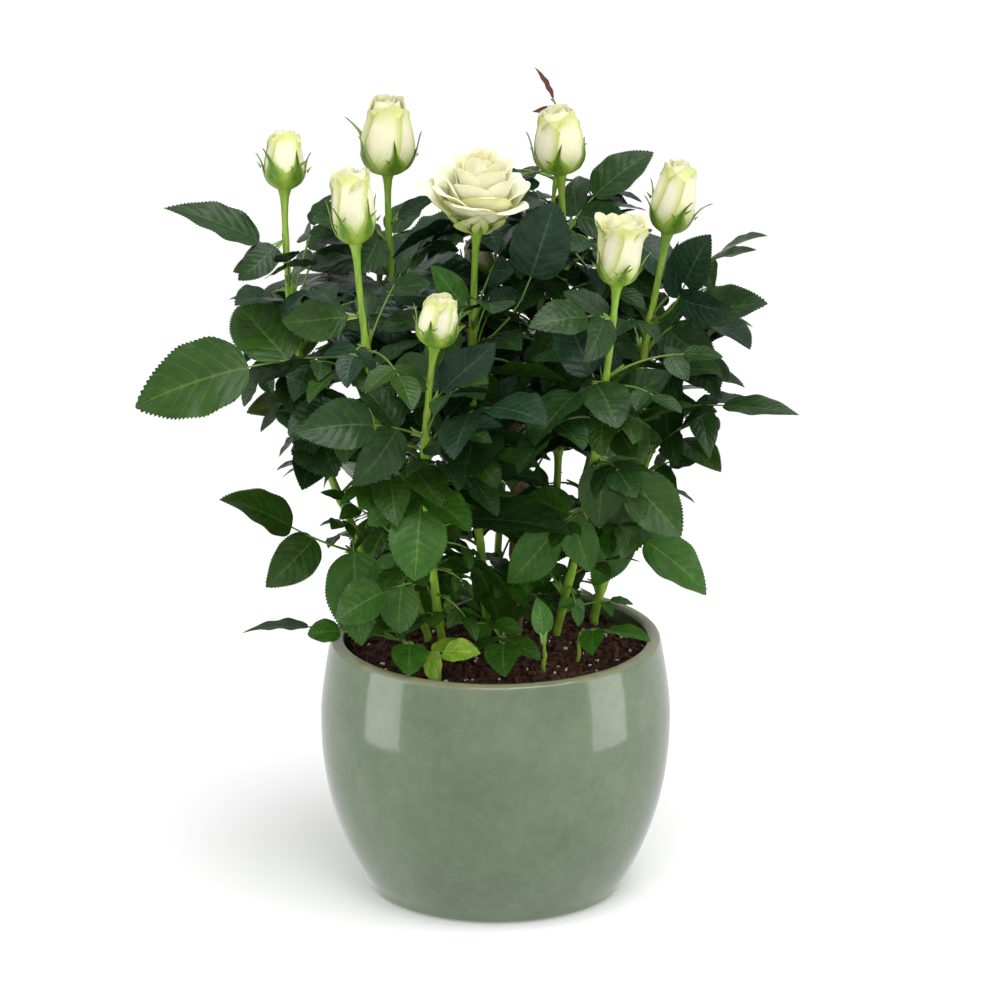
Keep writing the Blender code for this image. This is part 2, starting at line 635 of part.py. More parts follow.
def bud_radius(flower, share):
    """A bud's radius at a share of its height."""
    if share < BUD_WIDEST:
        swell = math.sqrt(1 - (1 - share / BUD_WIDEST) ** 2)
        return flower.radius * (BUD_FOOT + (1 - BUD_FOOT) * swell)
    fall = (share - BUD_WIDEST) / (1 - BUD_WIDEST)
    return flower.radius * (1 - (1 - flower.mouth) * fall**BUD_TAPER)


def bud_shape(flower, base, axes):
    """Points and faces of a bud whose petals' edges wind round it in steps."""
    along, side, across = axes
    points, faces = [], []
    for share in BUD_RINGS:
        for k in range(BUD_SIDES):
            angle = 2 * math.pi * k / BUD_SIDES
            lap = (BUD_LAPS * k / BUD_SIDES + BUD_WIND * share) % 1.0
            step = BUD_STEP * lap * min(1, BUD_LAPS * share)
            out = side * math.cos(angle) + across * math.sin(angle)
            points.append(base + along * (share * flower.height)
                          + out * bud_radius(flower, share) * (1 - step))
    for i in range(len(BUD_RINGS) - 1):
        for k in range(BUD_SIDES):
            a, b = i * BUD_SIDES + k, i * BUD_SIDES + (k + 1) % BUD_SIDES
            faces.append((a, b, b + BUD_SIDES, a + BUD_SIDES))
    top = (len(BUD_RINGS) - 1) * BUD_SIDES
    heart = len(points)
    points.append(base + along * flower.height * BUD_HEART)
    faces.extend((top + k, top + (k + 1) % BUD_SIDES, heart) for k in range(BUD_SIDES))
    faces.append(tuple(range(BUD_SIDES)))
    return points, faces


def sepal_shape(flower, base, axes, index):
    """A pointed three-sided sepal that hugs the bud and flares at its tip."""
    along, side, across = axes
    angle = 2 * math.pi * (index + SEPAL_TURN) / SEPALS
    out = side * math.cos(angle) + across * math.sin(angle)
    wide = along.cross(out)
    points, faces = [], []
    for share, half in SEPAL_RINGS:
        height = share * flower.sepal_length - SUNK
        radius = bud_radius(flower, min(1, max(0, height) / flower.height))
        flare = flower.radius * flower.sepal_flare * share**3
        centre = base + along * height + out * (radius + flare)
        inside = out * SEPAL_SUNK * (1 - share)
        points.extend((centre - wide * half - inside, centre + wide * half - inside,
                       centre + out * SEPAL_BACK))
    points.append(base + along * flower.sepal_length
                  + out * flower.radius * (SEPAL_TIP + flower.sepal_flare))
    for first in (0, 3):
        join(faces, first, first + 3, (0, 1, 2))
    faces.extend(((0, 1, 2), (6, 7, 9), (7, 8, 9), (8, 6, 9)))
    return points, faces


def petal_shape(flower, base, axes, index, ring):
    """One broad petal of the open bloom, cupped at its foot and rolled back at its edge."""
    along, side, across = axes
    varies = PETAL_VARIES * math.sin(math.radians(TURN) * index)
    angle = 2 * math.pi * (index + ring / 2 + varies) / PETALS
    out = side * math.cos(angle) + across * math.sin(angle)
    wide = along.cross(out)
    reach, lift = BLOOM_RINGS[ring]
    lift *= 1 + PETAL_VARIES * math.cos(math.radians(TURN) * (index + ring))
    grid = []
    for reach_share, lift_share, width_share in PETAL_ROWS:
        row = []
        for v in (-1, 0, 1):
            half = PETAL_HALF_WIDTH * width_share * v
            bow = 1 - PETAL_BOW * abs(v)
            row.append(base + out * reach * reach_share * bow + wide * half
                       + along * (lift * (lift_share + PETAL_CUP * abs(v)) - SUNK))
        grid.append(row)
    points, faces = [], []
    for offset in (PETAL_HALF_THICKNESS, -PETAL_HALF_THICKNESS):
        for row in grid:
            points.extend(p + (along * 0.4 - out * 0.9) * offset for p in row)
    for level, order in ((0, 1), (9, -1)):
        for i in range(2):
            for j in range(2):
                a = level + i * 3 + j
                faces.append((a, a + 1, a + 4, a + 3)[::order])
    edge = [0, 1, 2, 5, 8, 7, 6, 3]
    for a, b in zip(edge, edge[1:] + edge[:1]):
        faces.append((a, b, b + 9, a + 9))
    return points, faces


def hip_shape(stem):
    """The swelling that carries the sepals, from the stem up into the flower's foot."""
    along = stem.direction(1.0)
    centres = [stem.head + along * rise for rise, _ in HIP_RINGS]
    radii = [stem.radius(1.0) * share for _, share in HIP_RINGS]
    return tube_shape(centres, radii, [along] * len(HIP_RINGS), HIP_SIDES)


def flower_room(stem):
    """Points and faces of a closed tube round a flower and its sepals."""
    flower, along = stem.shoot.flower, stem.direction(1.0)
    share, swell = ROOM_SWELL
    top = BLOOM_RINGS[0][0] if flower.is_open else flower.radius * max(1.0, flower.mouth)
    rings = ((HIP_RINGS[0][0], stem.radius(1.0)), (0.0, flower.radius * ROOM_FOOT),
             (flower.sepal_length * share, flower.radius * swell),
             (flower.sepal_length, flower.radius * (SEPAL_TIP + flower.sepal_flare)),
             (flower.height, top))
    centres = [stem.head + along * height for height, _ in rings]
    radii = [radius + ROOM_MARGIN for _, radius in rings]
    return tube_shape(centres, radii, [along] * len(rings), ROOM_SIDES)


def flower_shapes(stem):
    """Every solid of the flower that ends a stem."""
    flower = stem.shoot.flower
    axes = flower_axes(stem, flower)
    base = stem.head + axes[0] * FLOWER_LIFT
    shapes = [hip_shape(stem), bud_shape(flower, base, axes)]
    shapes += [sepal_shape(flower, base, axes, i) for i in range(SEPALS)]
    if flower.is_open:
        shapes += [petal_shape(flower, base, axes, i, ring)
                   for ring in range(len(BLOOM_RINGS)) for i in range(PETALS)]
    return shapes


# ---------------------------------------------------------------- crown


def crown_radius(height):
    """The furthest from the middle that an ordinary leaf may reach at a height."""
    heights = [(z * MM, r * MM) for z, r in CROWN]
    for (low, near), (high, far) in zip(heights, heights[1:]):
        if height <= high:
            share = max(0.0, (height - low) / (high - low))
            return near + (far - near) * share
    return 0.0


class Shape:
    """A surface with its box, for a quick test of whether two of them cross."""

    def __init__(self, points, faces):
        self.tree = BVHTree.FromPolygons([tuple(p) for p in points], faces)
        self.low = [min(p[i] for p in points) for i in range(3)]
        self.high = [max(p[i] for p in points) for i in range(3)]

    def meets(self, other):
        if any(self.low[i] > other.high[i] or other.low[i] > self.high[i] for i in range(3)):
            return False
        return bool(self.tree.overlap(other.tree))


class Obstacle:
    """What leaves must not touch. A leaf's root may cross only what its own stem carries."""

    def __init__(self, owner, whole, outer=None):
        self.owner = owner
        self.whole = Shape(*whole)
        self.outer = Shape(*outer) if outer else self.whole

    def meets(self, other):
        if self.owner == other.owner:
            return self.outer.meets(other.outer)
        return self.whole.meets(other.whole)


def of_object(obj):
    faces = [tuple(face.vertices) for face in obj.data.polygons]
    return Obstacle(obj.name, ([vertex.co for vertex in obj.data.vertices], faces))


def opening_shape(x, height, radius):
    """Points and faces of an open place, from the plant's front to its back."""
    way = Vector((0, -1, OPENING_RISE))
    middle = Vector((x, 0, height))
    ends = [middle - way * OPENING_RUN, middle + way * OPENING_RUN]
    return tube_shape(ends, [radius, radius], [way.normalized()] * 2, OPENING_SIDES)


def ruled_leaves(shoot, stem):
    """The ordinary leaves of a shoot: one every LEAF_SPACING, each turned from the last."""
    rng = random.Random(shoot.seed)
    length = stem.length()
    start, end = shoot.bare + RULE_START, shoot.leafy_to
    count = max(1, round(length * (end - start) / LEAF_SPACING))
    leaves = []
    for i in range(count):
        share = (i + 0.5) / count
        at = start + (end - start) * share
        size = shoot.leaf_length * (0.72 + 0.5 * math.sin(math.pi * (0.2 + 0.62 * share)))
        leaf = Leaf(at, shoot.first_heading + TURN * i + rng.uniform(*RULE_TURN),
                    RULE_RISE_GAIN * share + rng.uniform(*RULE_RISE), rng.uniform(*RULE_SAG),
                    rng.uniform(*RULE_ROLL), size * rng.uniform(*RULE_SIZE),
                    5 if rng.random() < RULE_FIVE else 3, rng.uniform(*RULE_STALK),
                    rng.uniform(*RULE_WIDTH), rng.uniform(*RULE_CURL), rng.uniform(*RULE_FOLD))
        if all(abs(at - other.at) * length > RULE_ROOM for other in shoot.trained):
            leaves.append(leaf)
    return leaves


def tries(leaf, trained):
    """The leaf, then what it may become: turned, lifted, smaller and with fewer leaflets."""
    spread = TRAINED_TURNS if trained else ORDINARY_TURNS
    for leaflets in range(leaf.leaflets, 0, -2):
        for turn in spread:
            for lift in LIFTS:
                size = 1 - abs(turn) / 600
                yield replace(leaf, heading=leaf.heading + turn, rise=leaf.rise + lift,
                              length=leaf.length * size, leaflets=leaflets)


def inside_crown(points):
    return all(math.hypot(p[0], p[1]) <= crown_radius(p[2]) for p in points)


def place_leaves(stems, obstacles):
    """Every leaf that fits, by shoot: trained leaves first, then the ordinary ones.

    A leaf that would touch a limb, a flower, the pot or another leaf, or an ordinary one that
    would leave the crown, is turned or cut down until it fits, and is skipped if it never does.
    """
    placed = {stem.shoot.name: [] for stem in stems}
    queue = [(stem, aimed(reach, stem), True)
             for stem in stems for reach in stem.shoot.trained]
    rows = [ruled_leaves(stem.shoot, stem) if stem.shoot.fill else [] for stem in stems]
    for i in range(max(map(len, rows))):
        queue += [(stem, row[-1 - i], False) for stem, row in zip(stems, rows) if i < len(row)]
    for stem, leaf, trained in queue:
        owner = stem.shoot.name
        for tried in tries(leaf, trained):
            frame = LeafFrame(tried, stem)
            outer = leaf_shape(frame, LEAF_ROOM, frame.bark)
            if not trained and not inside_crown(outer[0]):
                continue
            room = Obstacle(owner, leaf_shape(frame, LEAF_ROOM), outer)
            if any(room.meets(obstacle) for obstacle in obstacles):
                continue
            obstacles.append(room)
            placed[owner].append(tried)
            break
    return placed


def keep_largest(mesh):
    """Fill what the union sealed in, and drop its scraps: only the largest closed surface stays."""
    work = bmesh.new()
    work.from_mesh(mesh)
    waiting, groups = set(work.faces), []
    while waiting:
        group, edge = [], [waiting.pop()]
        while edge:
            face = edge.pop()
            group.append(face)
            near = {other for side in face.edges for other in side.link_faces} & waiting
            waiting -= near
            edge.extend(near)
        groups.append(group)
    groups.sort(key=len)
    for group in groups[:-1]:
        bmesh.ops.delete(work, geom=group, context="FACES")
    work.to_mesh(mesh)
    work.free()


def fuse(name, shapes, finish):
    """One solid from overlapping shapes, by a union on a collection."""
    first, *others = [solid(f"{name}_{i}", *shape) for i, shape in enumerate(shapes)]
    first.name = name
    first.data.materials.append(finish)
    group = bpy.data.collections.new(name + "_parts")
    bpy.context.scene.collection.children.link(group)
    for obj in others:
        bpy.context.collection.objects.unlink(obj)
        group.objects.link(obj)
    if others:
        union = first.modifiers.new("union", "BOOLEAN")
        union.operation = "UNION"
        union.operand_type = "COLLECTION"
        union.collection = group
        union.solver = "EXACT"
        graph = bpy.context.evaluated_depsgraph_get()
        mesh = bpy.data.meshes.new_from_object(first.evaluated_get(graph))
        first.modifiers.clear()
        first.data = mesh
        keep_largest(mesh)
    for obj in others:
        bpy.data.objects.remove(obj, do_unlink=True)
    bpy.data.collections.remove(group)
    return first


def build_plant(pot, soil, finishes):
    """Boughs, and over each a mass of leaves with its flower."""
    stems = [Stem(shoot) for shoot in SHOOTS]
    obstacles = [of_object(pot), of_object(soil)]
    obstacles += [Obstacle("opening", opening_shape(*mm(*opening))) for opening in OPENINGS]
    flowers = {}
    for stem in stems:
        name = stem.shoot.name
        flowers[name] = flower_shapes(stem) if stem.shoot.flower else []
        obstacles.append(Obstacle(name, stem.tube(0, 1, TWIG_SIDES + 1, LEAF_ROOM)))
        if stem.shoot.flower:
            obstacles.append(Obstacle(name, flower_room(stem)))
    placed = place_leaves(stems, obstacles)
    for stem in stems:
        shoot = stem.shoot
        woody = finishes["wood"] if shoot.name == "old_wood" else finishes["cane"]
        if shoot.bare:
            solid("cane_" + shoot.name, *stem.tube(0, shoot.bare, CANE_SIDES), woody)
        start = shoot.bare + CLEAR / stem.length() if shoot.bare else 0.0
        shapes = [stem.tube(start, 1, TWIG_SIDES)]
        for leaf in placed[shoot.name]:
            shapes.append(leaf_shape(LeafFrame(leaf, stem)))
        name = ("leaves_" if shoot.bare else "low_") + shoot.name
        fuse(name, shapes + flowers[shoot.name], finishes["leaf"])


def main():
    clear_scene()
    finishes = {
        "glaze": material("celadon glaze", (0.24, 0.33, 0.22), 0.15),
        "soil": material("potting soil", (0.03, 0.017, 0.011), 0.95),
        "cane": material("green rose cane", (0.16, 0.3, 0.05), 0.5),
        "wood": material("old brown cane", (0.14, 0.08, 0.04), 0.7),
        "leaf": material("rose leaf", (0.02, 0.09, 0.03), 0.4),
    }
    pot = build_pot(finishes["glaze"])
    soil = build_soil(finishes["soil"])
    build_plant(pot, soil, finishes)


main()
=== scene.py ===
"""The looks of a potted patio rose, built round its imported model.

Metres, +Z up. The origin is the middle of the pot's flat underside, and the front of the plant
faces -Y. A heading is in degrees, anticlockwise from +X seen from above.
"""

from __future__ import annotations

import logging
import random
from dataclasses import dataclass, fields, replace
from enum import Enum
from functools import cache, partial
from math import atan2, cos, degrees, exp, hypot, pi, radians, sin, sqrt
from typing import Callable, Iterable, Iterator, Sequence

import bmesh
import bpy
import numpy as np
from bpy.types import Material, NodeSocket, NodeTree, Object
from mathutils import Matrix, Vector, noise
from mathutils.bvhtree import BVHTree


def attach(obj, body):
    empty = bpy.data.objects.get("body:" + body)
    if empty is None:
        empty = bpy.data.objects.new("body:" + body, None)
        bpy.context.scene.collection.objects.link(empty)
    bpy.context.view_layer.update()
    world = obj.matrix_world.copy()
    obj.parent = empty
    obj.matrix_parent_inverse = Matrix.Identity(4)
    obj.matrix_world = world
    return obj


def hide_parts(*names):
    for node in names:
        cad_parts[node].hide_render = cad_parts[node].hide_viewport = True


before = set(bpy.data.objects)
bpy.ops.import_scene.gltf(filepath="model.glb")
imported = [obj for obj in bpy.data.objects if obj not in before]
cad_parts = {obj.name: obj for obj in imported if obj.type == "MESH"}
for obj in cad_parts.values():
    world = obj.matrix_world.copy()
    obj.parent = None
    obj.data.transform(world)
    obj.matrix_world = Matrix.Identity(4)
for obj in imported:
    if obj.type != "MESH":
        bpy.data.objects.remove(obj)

log = logging.getLogger("rose")

MM = 0.001
Pair = tuple[float, float]
Place = tuple[float, float, float]
Hull = tuple[list[Vector], list[tuple[int, ...]]]  # points and faces


# ---- sizes that the solids have too

POT_HEIGHT = 142 * MM
BELLY_RADIUS = 95 * MM
BELLY_HEIGHT = 99 * MM
BASE_RADIUS = 68 * MM
RIM_RADIUS = 89 * MM
BASE_CURVE = 2.3
RIM_CURVE = 1.45
WALL = 7 * MM
BASE_EDGE = 3 * MM
SOIL_EDGE_HEIGHT = 131 * MM
SOIL_MOUND = 6 * MM
SOIL_CURVE = 2.2

PAIR_GAP = 0.62  # shares of the end leaflet's length, down to SIDE_SIZES
END_STALK = 0.34
SHORTEST_STALK = 0.03
FIRST_STALK = 0.3
AIM_STEPS = 12
STALK_STEPS = 8
LEAST_SLANT = 0.3
SIDE_SIZES = (0.68, 0.86)
SIDE_ANGLE = 64.0
SIDE_DROOP = 16.0
STALK_RADIUS = 0.95 * MM
STALK_TIP_RADIUS = 0.6 * MM
ROOT_FACE = 0.9 * MM
BLADE_THICKNESS = 1 / 75
BLADE_OUTLINE = ((0.2, 0.76), (0.58, 0.94))
BLADE_MIDDLE = 0.42
LEAF_ROOM = 0.5 * MM
TURN = 137.5
LEAF_SPACING = 21 * MM
RING_SPACING = 35 * MM
TRAINED_TURNS = (0, 7, -7, 14, -14)
ORDINARY_TURNS = (0, 18, -18, 36, -36, 58, -58, 84, -84, 112, -112, 145, -145, 180)
LIFTS = (0, 12, -12, 26)
SHRINK = 600  # degrees of turn that would take all of a leaf's length
STALK_START = 2.2 * MM
CROWN = ((140, 84), (175, 98), (220, 112), (265, 134), (315, 146), (350, 140), (388, 88))
OPENINGS = ((39, 236, 8), (-1, 193, 6), (-99, 215, 8), (-78, 278, 4), (74, 170, 9),
            (92, 158, 8), (-106, 161, 9))
OPENING_RUN = 150 * MM
OPENING_RISE = 0.31
OPENING_SIDES = 8

RULE_START = 0.06
RULE_TURN = (-14, 14)
RULE_RISE = (6, 22)
RULE_RISE_GAIN = 34
RULE_SAG = (40, 75)
RULE_ROLL = (-22, 22)
RULE_LENGTH = 46 * MM
RULE_SWELL = (0.72, 0.5, 0.2, 0.62)  # least, gain, and start and run in half turns
RULE_SIZE = (0.9, 1.1)
RULE_STALK = (0.15, 0.35)
RULE_WIDTH = (0.6, 0.7)
RULE_CURL = (0.08, 0.24)
RULE_FOLD = (0.1, 0.32)
RULE_FIVE = 0.6
RULE_ROOM = 6 * MM

BUD_WIDEST = 0.34
BUD_FOOT = 0.32
BUD_TAPER = 1.6
SEPALS = 5
SEPAL_TURN = 0.2
SEPAL_TIP = 0.8
BLOOM_REACH = 25.5 * MM
HIP_RINGS = ((-14 * MM, 0.98), (-5 * MM, 1.35), (0.0, 1.9), (3 * MM, 1.7))
FLOWER_LIFT = 1 * MM
ROOM_SIDES = 8
ROOM_FOOT = 0.7
ROOM_SWELL = (0.4, 1.2)
ROOM_MARGIN = 1 * MM
TWIG_SIDES = 5
FOOT_CLEAR = 0.4 * MM

MAP_GRAIN = 10 * MM  # of a tube's length to a unit of its map
MAP_CELLS = 4  # finishes each way in a shared baking map
MAP_MARGIN = 0.02
AT_EDGE = 0.999  # beyond this share of half the width, a corner is on the edge
LARGE_LEAFLET = 34 * MM  # longer ones take the finer pattern


class Tint(Enum):
    """The colours that leaves come in, in the order of their finishes."""

    DEEP = 0  # blue-green, old and glossy
    DARK = 1
    MID = 2
    FRESH = 3
    BRIGHT = 4
    LIME = 5
    OLIVE = 6
    BRONZE = 7  # young


@dataclass(frozen=True)
class Leaf:
    """A leaf of 1, 3 or 5 leaflets on one stalk. Angles are in degrees."""

    at: float  # share of the stem's length, from its foot
    heading: float
    rise: float  # above level, where the stalk leaves the stem
    sag: float  # how far the stalk has bent down by its end
    roll: float  # about the stalk, positive to the right
    length: float  # of the end leaflet
    leaflets: int = 5
    stalk: float = 0.7  # from the stem to the first leaflets, in end leaflets
    width: float = 0.6
    curl: float = 0.16
    fold: float = 0.22
    lone: int = 0  # 1 or -1 where only the right or left leaflet of each pair has grown
    tint: Tint | None = None


@dataclass(frozen=True)
class Reach:
    """A leaf whose end leaflet's tip comes to a chosen point. Lengths are in millimetres."""

    at: float
    tip: Place
    length: float
    roll: float
    sag: float
    leaflets: int = 5
    width: float = 0.64
    tint: Tint | None = None
    lone: int = 0


@dataclass(frozen=True)
class Flower:
    """A bud, or an open bloom, on the end of a stem."""

    height: float
    radius: float
    sepal_length: float
    sepal_flare: float  # how far the sepals' tips stand off the bud, in bud radii
    turn: float  # degrees
    mouth: float = 0.55  # radius at the top, in bud radii
    hold: float = 1.0  # how much of the bud the sepals' feet hold
    is_open: bool = False


@dataclass(frozen=True)
class Shoot:
    """One stem from the soil: its curve runs through foot, knee and head, in millimetres."""

    name: str
    foot: Pair
    knee: Place
    head: Place
    seed: int
    radius: float = 2.7
    tip_radius: float = 2.1
    bare: float = 0.16  # share that is a bough of its own, below the leaves
    leafy_to: float = 0.8
    first_heading: float = 0.0
    fill: bool = True  # also carries ordinary leaves by the rule
    trained: tuple[Reach, ...] = ()
    flower: Flower | None = None


def mm(*values: float) -> tuple[float, ...]:
    """Lengths in millimetres as metres."""
    return tuple(v * MM for v in values)


SHOOTS = (
    Shoot("front", (-28, -8), (-37, -60, 240), (-32, -80, 328), 11, first_heading=200,
          leafy_to=0.62, bare=0.14, flower=Flower(*mm(27, 11, 24), 0.5, 20, 0.6, hold=1.35),
          trained=(
        Reach(0.22, (-86, -37, 163), 30, -51, 24, 3, 0.85, Tint.FRESH),
        Reach(0.53, (-42, -112, 209), 38, 0, 70, 3, 0.8, Tint.FRESH),
        Reach(0.69, (-110, -101, 294), 46, -57, 16, 3, 0.62, Tint.DARK),
        Reach(0.77, (0, -76, 329), 38, 62, 16, 1, 0.6, Tint.DEEP))),
    Shoot("left_front", (-36, 6), (-60, -34, 250), (-74, -40, 373), 23, first_heading=140,
          leafy_to=0.74, flower=Flower(*mm(38, 11.5, 24), 0.35, 300, 0.78), trained=(
        Reach(0.72, (-34, -66, 303), 36, 40, 40, 3),
        Reach(0.75, (-192, -54, 291), 63, -49, 16, 3, 0.66, Tint.MID, lone=1),
        Reach(0.84, (-113, -43, 328), 34, -50, 16, 1, 0.7, Tint.MID))),
    Shoot("left_far", (-48, 22), (-97, 4, 258), (-113, 20, 386), 37, first_heading=250,
          leafy_to=0.74, flower=Flower(*mm(30, 11, 22), 0.6, 80, 0.62, hold=1.5), trained=(
        Reach(0.2, (-146, -20, 224), 44, -50, -15, 3, tint=Tint.MID, lone=-1),
        Reach(0.55, (-133, -8, 271), 30, -29, -8, 1, 0.66, Tint.OLIVE),
        Reach(0.86, (-141, 11, 344), 22, -40, 8, 1, 0.6, Tint.OLIVE),
        Reach(0.86, (-177, 10, 380), 54, -29, 8, 1, 0.5, Tint.DARK),
        Reach(0.9, (-135, 1, 335), 28, -29, 8, 1, 0.62, Tint.DARK))),
    Shoot("left_back", (-24, 42), (-50, 50, 262), (-58, 40, 390), 41, first_heading=90,
          leafy_to=0.72, flower=Flower(*mm(42, 15, 28), 0.75, 200, 0.5), trained=(
        Reach(0.8, (-105, 44, 333), 42, -15, 16, 1, 0.6, Tint.DARK),
        Reach(0.83, (-99, 10, 374), 38, -36, 32, 3, tint=Tint.DARK),
        Reach(0.88, (-34, 30, 376), 28, 50, 20, 1, 0.4))),
    Shoot("centre", (-4, 26), (-12, 2, 255), (-10, -20, 374), 53, first_heading=30, leafy_to=0.76,
          flower=Flower(*mm(44, 18.5, 22), 1.0, 10, 0.72, is_open=True), trained=(
        Reach(0.48, (15, 3, 287), 36, 74, -8, 1, tint=Tint.DEEP),
        Reach(0.71, (32, -22, 390), 42, 103, -40, 1, 0.75, Tint.DEEP),
        Reach(0.79, (-35, -13, 352), 28, -74, 0, 1, 0.56, Tint.BRIGHT))),
    Shoot("back", (24, 46), (36, 50, 262), (35, 40, 390), 67, first_heading=330, leafy_to=0.82,
          flower=Flower(*mm(36, 14, 26), 0.55, 250, 0.55), trained=(
        Reach(0.85, (74, 60, 413), 40, 35, 20, 3, 0.6, Tint.DARK),)),
    Shoot("right_front", (33, 18), (52, -32, 246), (64, -50, 353), 79, first_heading=300,
          leafy_to=0.7, bare=0.2, flower=Flower(*mm(35, 11.5, 20), 0.5, 340, 1.15), trained=(
        Reach(0.74, (19, -90, 277), 42, 0, 35, 3, 0.75, Tint.DARK),
        Reach(0.54, (100, -35, 209), 44, 59, 16, 3, 0.66, Tint.MID),
        Reach(0.39, (1, -32, 188), 38, -53, 24, 3, 0.62, Tint.FRESH),
        Reach(0.64, (94, -43, 303), 38, 57, 0, 1, 0.6, Tint.DARK),
        Reach(0.67, (14, -43, 317), 42, -67, 16, 1, 0.7, Tint.DEEP),
        Reach(0.91, (20, -73, 337), 34, -41, 16, 3, 0.66, Tint.DARK))),
    Shoot("right", (54, 44), (70, 18, 240), (92, 10, 365), 83, first_heading=20, leafy_to=0.74,
          flower=Flower(*mm(38, 12, 24), 0.6, 130, 0.6), trained=(
        Reach(0.59, (160, -31, 273), 42, 18, 16, 3, 0.42, Tint.DARK),
        Reach(0.72, (145, -10, 333), 44, 40, 40, 3, tint=Tint.DARK),
        Reach(0.82, (144, -37, 377), 34, 16, 16, 3, 0.5, Tint.DARK),
        Reach(0.81, (112, -23, 389), 36, 107, -40, 3, 0.7, Tint.DEEP),
        Reach(0.66, (124, -27, 317), 30, 34, 8, 3, 0.6, Tint.DARK),
        Reach(0.41, (124, -42, 261), 30, 28, 8, 3, 0.6, Tint.DARK),
        Reach(0.34, (117, 17, 162), 44, 49, -24, 3, 0.6, Tint.FRESH))),
    Shoot("tall_shoot", (12, 62), (22, 66, 280), (38, 66, 421), 101, 2.2, 1.1, first_heading=60,
          leafy_to=0.7, trained=(
        Reach(0.97, (21, 72, 440), 20, 0, -12, 3, 0.3, Tint.BRONZE),)),
    Shoot("rear_left", (-34, 52), (-54, 72, 238), (-64, 80, 322), 113, 2.5, 1.3, first_heading=130,
          leafy_to=1.0, trained=(
        Reach(0.78, (-92, 108, 304), 40, 0, 35, 3),
        Reach(0.52, (-104, 86, 234), 42, 0, 50, 3),
        Reach(0.32, (-48, 112, 198), 38, 0, 50, 3))),
    Shoot("rear", (0, 60), (2, 84, 240), (-6, 98, 312), 127, 2.5, 2, first_heading=80,
          leafy_to=0.8, flower=Flower(*mm(24, 9, 20), 0.4, 20, 0.5, hold=2.4), trained=(
        Reach(0.66, (32, 132, 270), 40, 0, 40, 3),
        Reach(0.42, (-20, 124, 214), 40, 0, 55, 3))),
    Shoot("rear_right", (36, 60), (54, 74, 238), (62, 82, 326), 131, 2.5, 1.3, first_heading=20,
          leafy_to=1.0, trained=(
        Reach(0.8, (92, 114, 306), 40, 0, 35, 3),
        Reach(0.46, (64, 126, 232), 40, 0, 50, 3))),
    Shoot("right_far", (52, 50), (84, 54, 225), (98, 46, 306), 97, 2.3, 1.4, first_heading=330,
          bare=0.2, leafy_to=1.0, trained=(
        Reach(0.45, (117, 34, 234), 26, 45, 8, 3, 0.6, Tint.MID),
        Reach(0.85, (133, 40, 306), 26, 43, 8, 3, 0.6, Tint.DARK))),
    Shoot("old_wood", (10, 14), (12, 12, 200), (8, 8, 268), 139, 4.0, 3.0, bare=0.5,
          first_heading=280, leafy_to=0.95),
    Shoot("spray_left", (-46, -14), (-50, -16, 142), (-54, -18, 150), 149, 1.4, 1.1, bare=0,
          fill=False, trained=(
        Reach(0.6, (-101, -37, 154), 18, -39, 16, 1, 0.8, Tint.FRESH),
        Reach(0.97, (-137, -21, 149), 36, -8, 0, 1, 0.42, Tint.DARK))),
    Shoot("spray_front_left", (-46, -44), (-46, -46, 143), (-46, -47, 152), 151, 1.3, 1.0, bare=0,
          fill=False, trained=(
        Reach(0.7, (-8, -78, 146), 24, 37, 0, 3, 0.6, Tint.LIME),
        Reach(0.96, (-46, -76, 144), 24, 0, 75, 1, 0.8))),
    Shoot("spray_front", (4, -42), (4, -43, 145), (4, -45, 156), 157, 1.4, 1.1, bare=0, fill=False,
          trained=(
        Reach(0.97, (4, -84, 147), 28, 0, 25, 3, 0.7),
        Reach(0.8, (-10, -55, 168), 24, 0, 20, 1))),
    Shoot("spray_right", (44, -26), (45, -27, 144), (46, -28, 152), 163, 1.4, 1.1, bare=0,
          fill=False, trained=(
        Reach(0.96, (82, -50, 154), 26, 0, 25, 3),)),
    Shoot("spray_middle", (26, -40), (26, -41, 143), (26, -42, 150), 167, 1.3, 1.0, bare=0,
          fill=False, trained=(
        Reach(0.5, (24, -36, 162), 20, 0, 10, 1, tint=Tint.BRIGHT),)),
)


# ---- growth, by the solids' own rule


def pot_radius(height: float) -> float:
    """Outer radius of the pot's wall at a height.

    Args:
        height: above the pot's underside.

    Returns:
        The radius.
    """
    if height < BELLY_HEIGHT:
        share = (BELLY_HEIGHT - height) / BELLY_HEIGHT
        return BELLY_RADIUS - (BELLY_RADIUS - BASE_RADIUS) * share**BASE_CURVE
    share = (height - BELLY_HEIGHT) / (POT_HEIGHT - BELLY_HEIGHT)
    return BELLY_RADIUS - (BELLY_RADIUS - RIM_RADIUS) * share**RIM_CURVE


def soil_height(x: float, y: float) -> float:
    """Height of the mounded soil over a point.

    Args:
        x: of the point.
        y: of the point.

    Returns:
        The height.
    """
    edge = pot_radius(SOIL_EDGE_HEIGHT) - WALL
    share = min(1.0, hypot(x, y) / edge)
    return SOIL_EDGE_HEIGHT + SOIL_MOUND * (1 - share**SOIL_CURVE)


def polar(vector: Vector) -> tuple[float, float, float]:
    """Length, heading and rise of a vector, the last two in degrees.

    Args:
        vector: any.

    Returns:
        The three numbers.
    """
    level = hypot(vector.x, vector.y)
    heading = degrees(atan2(vector.y, vector.x))
    return vector.length, heading, degrees(atan2(vector.z, level))


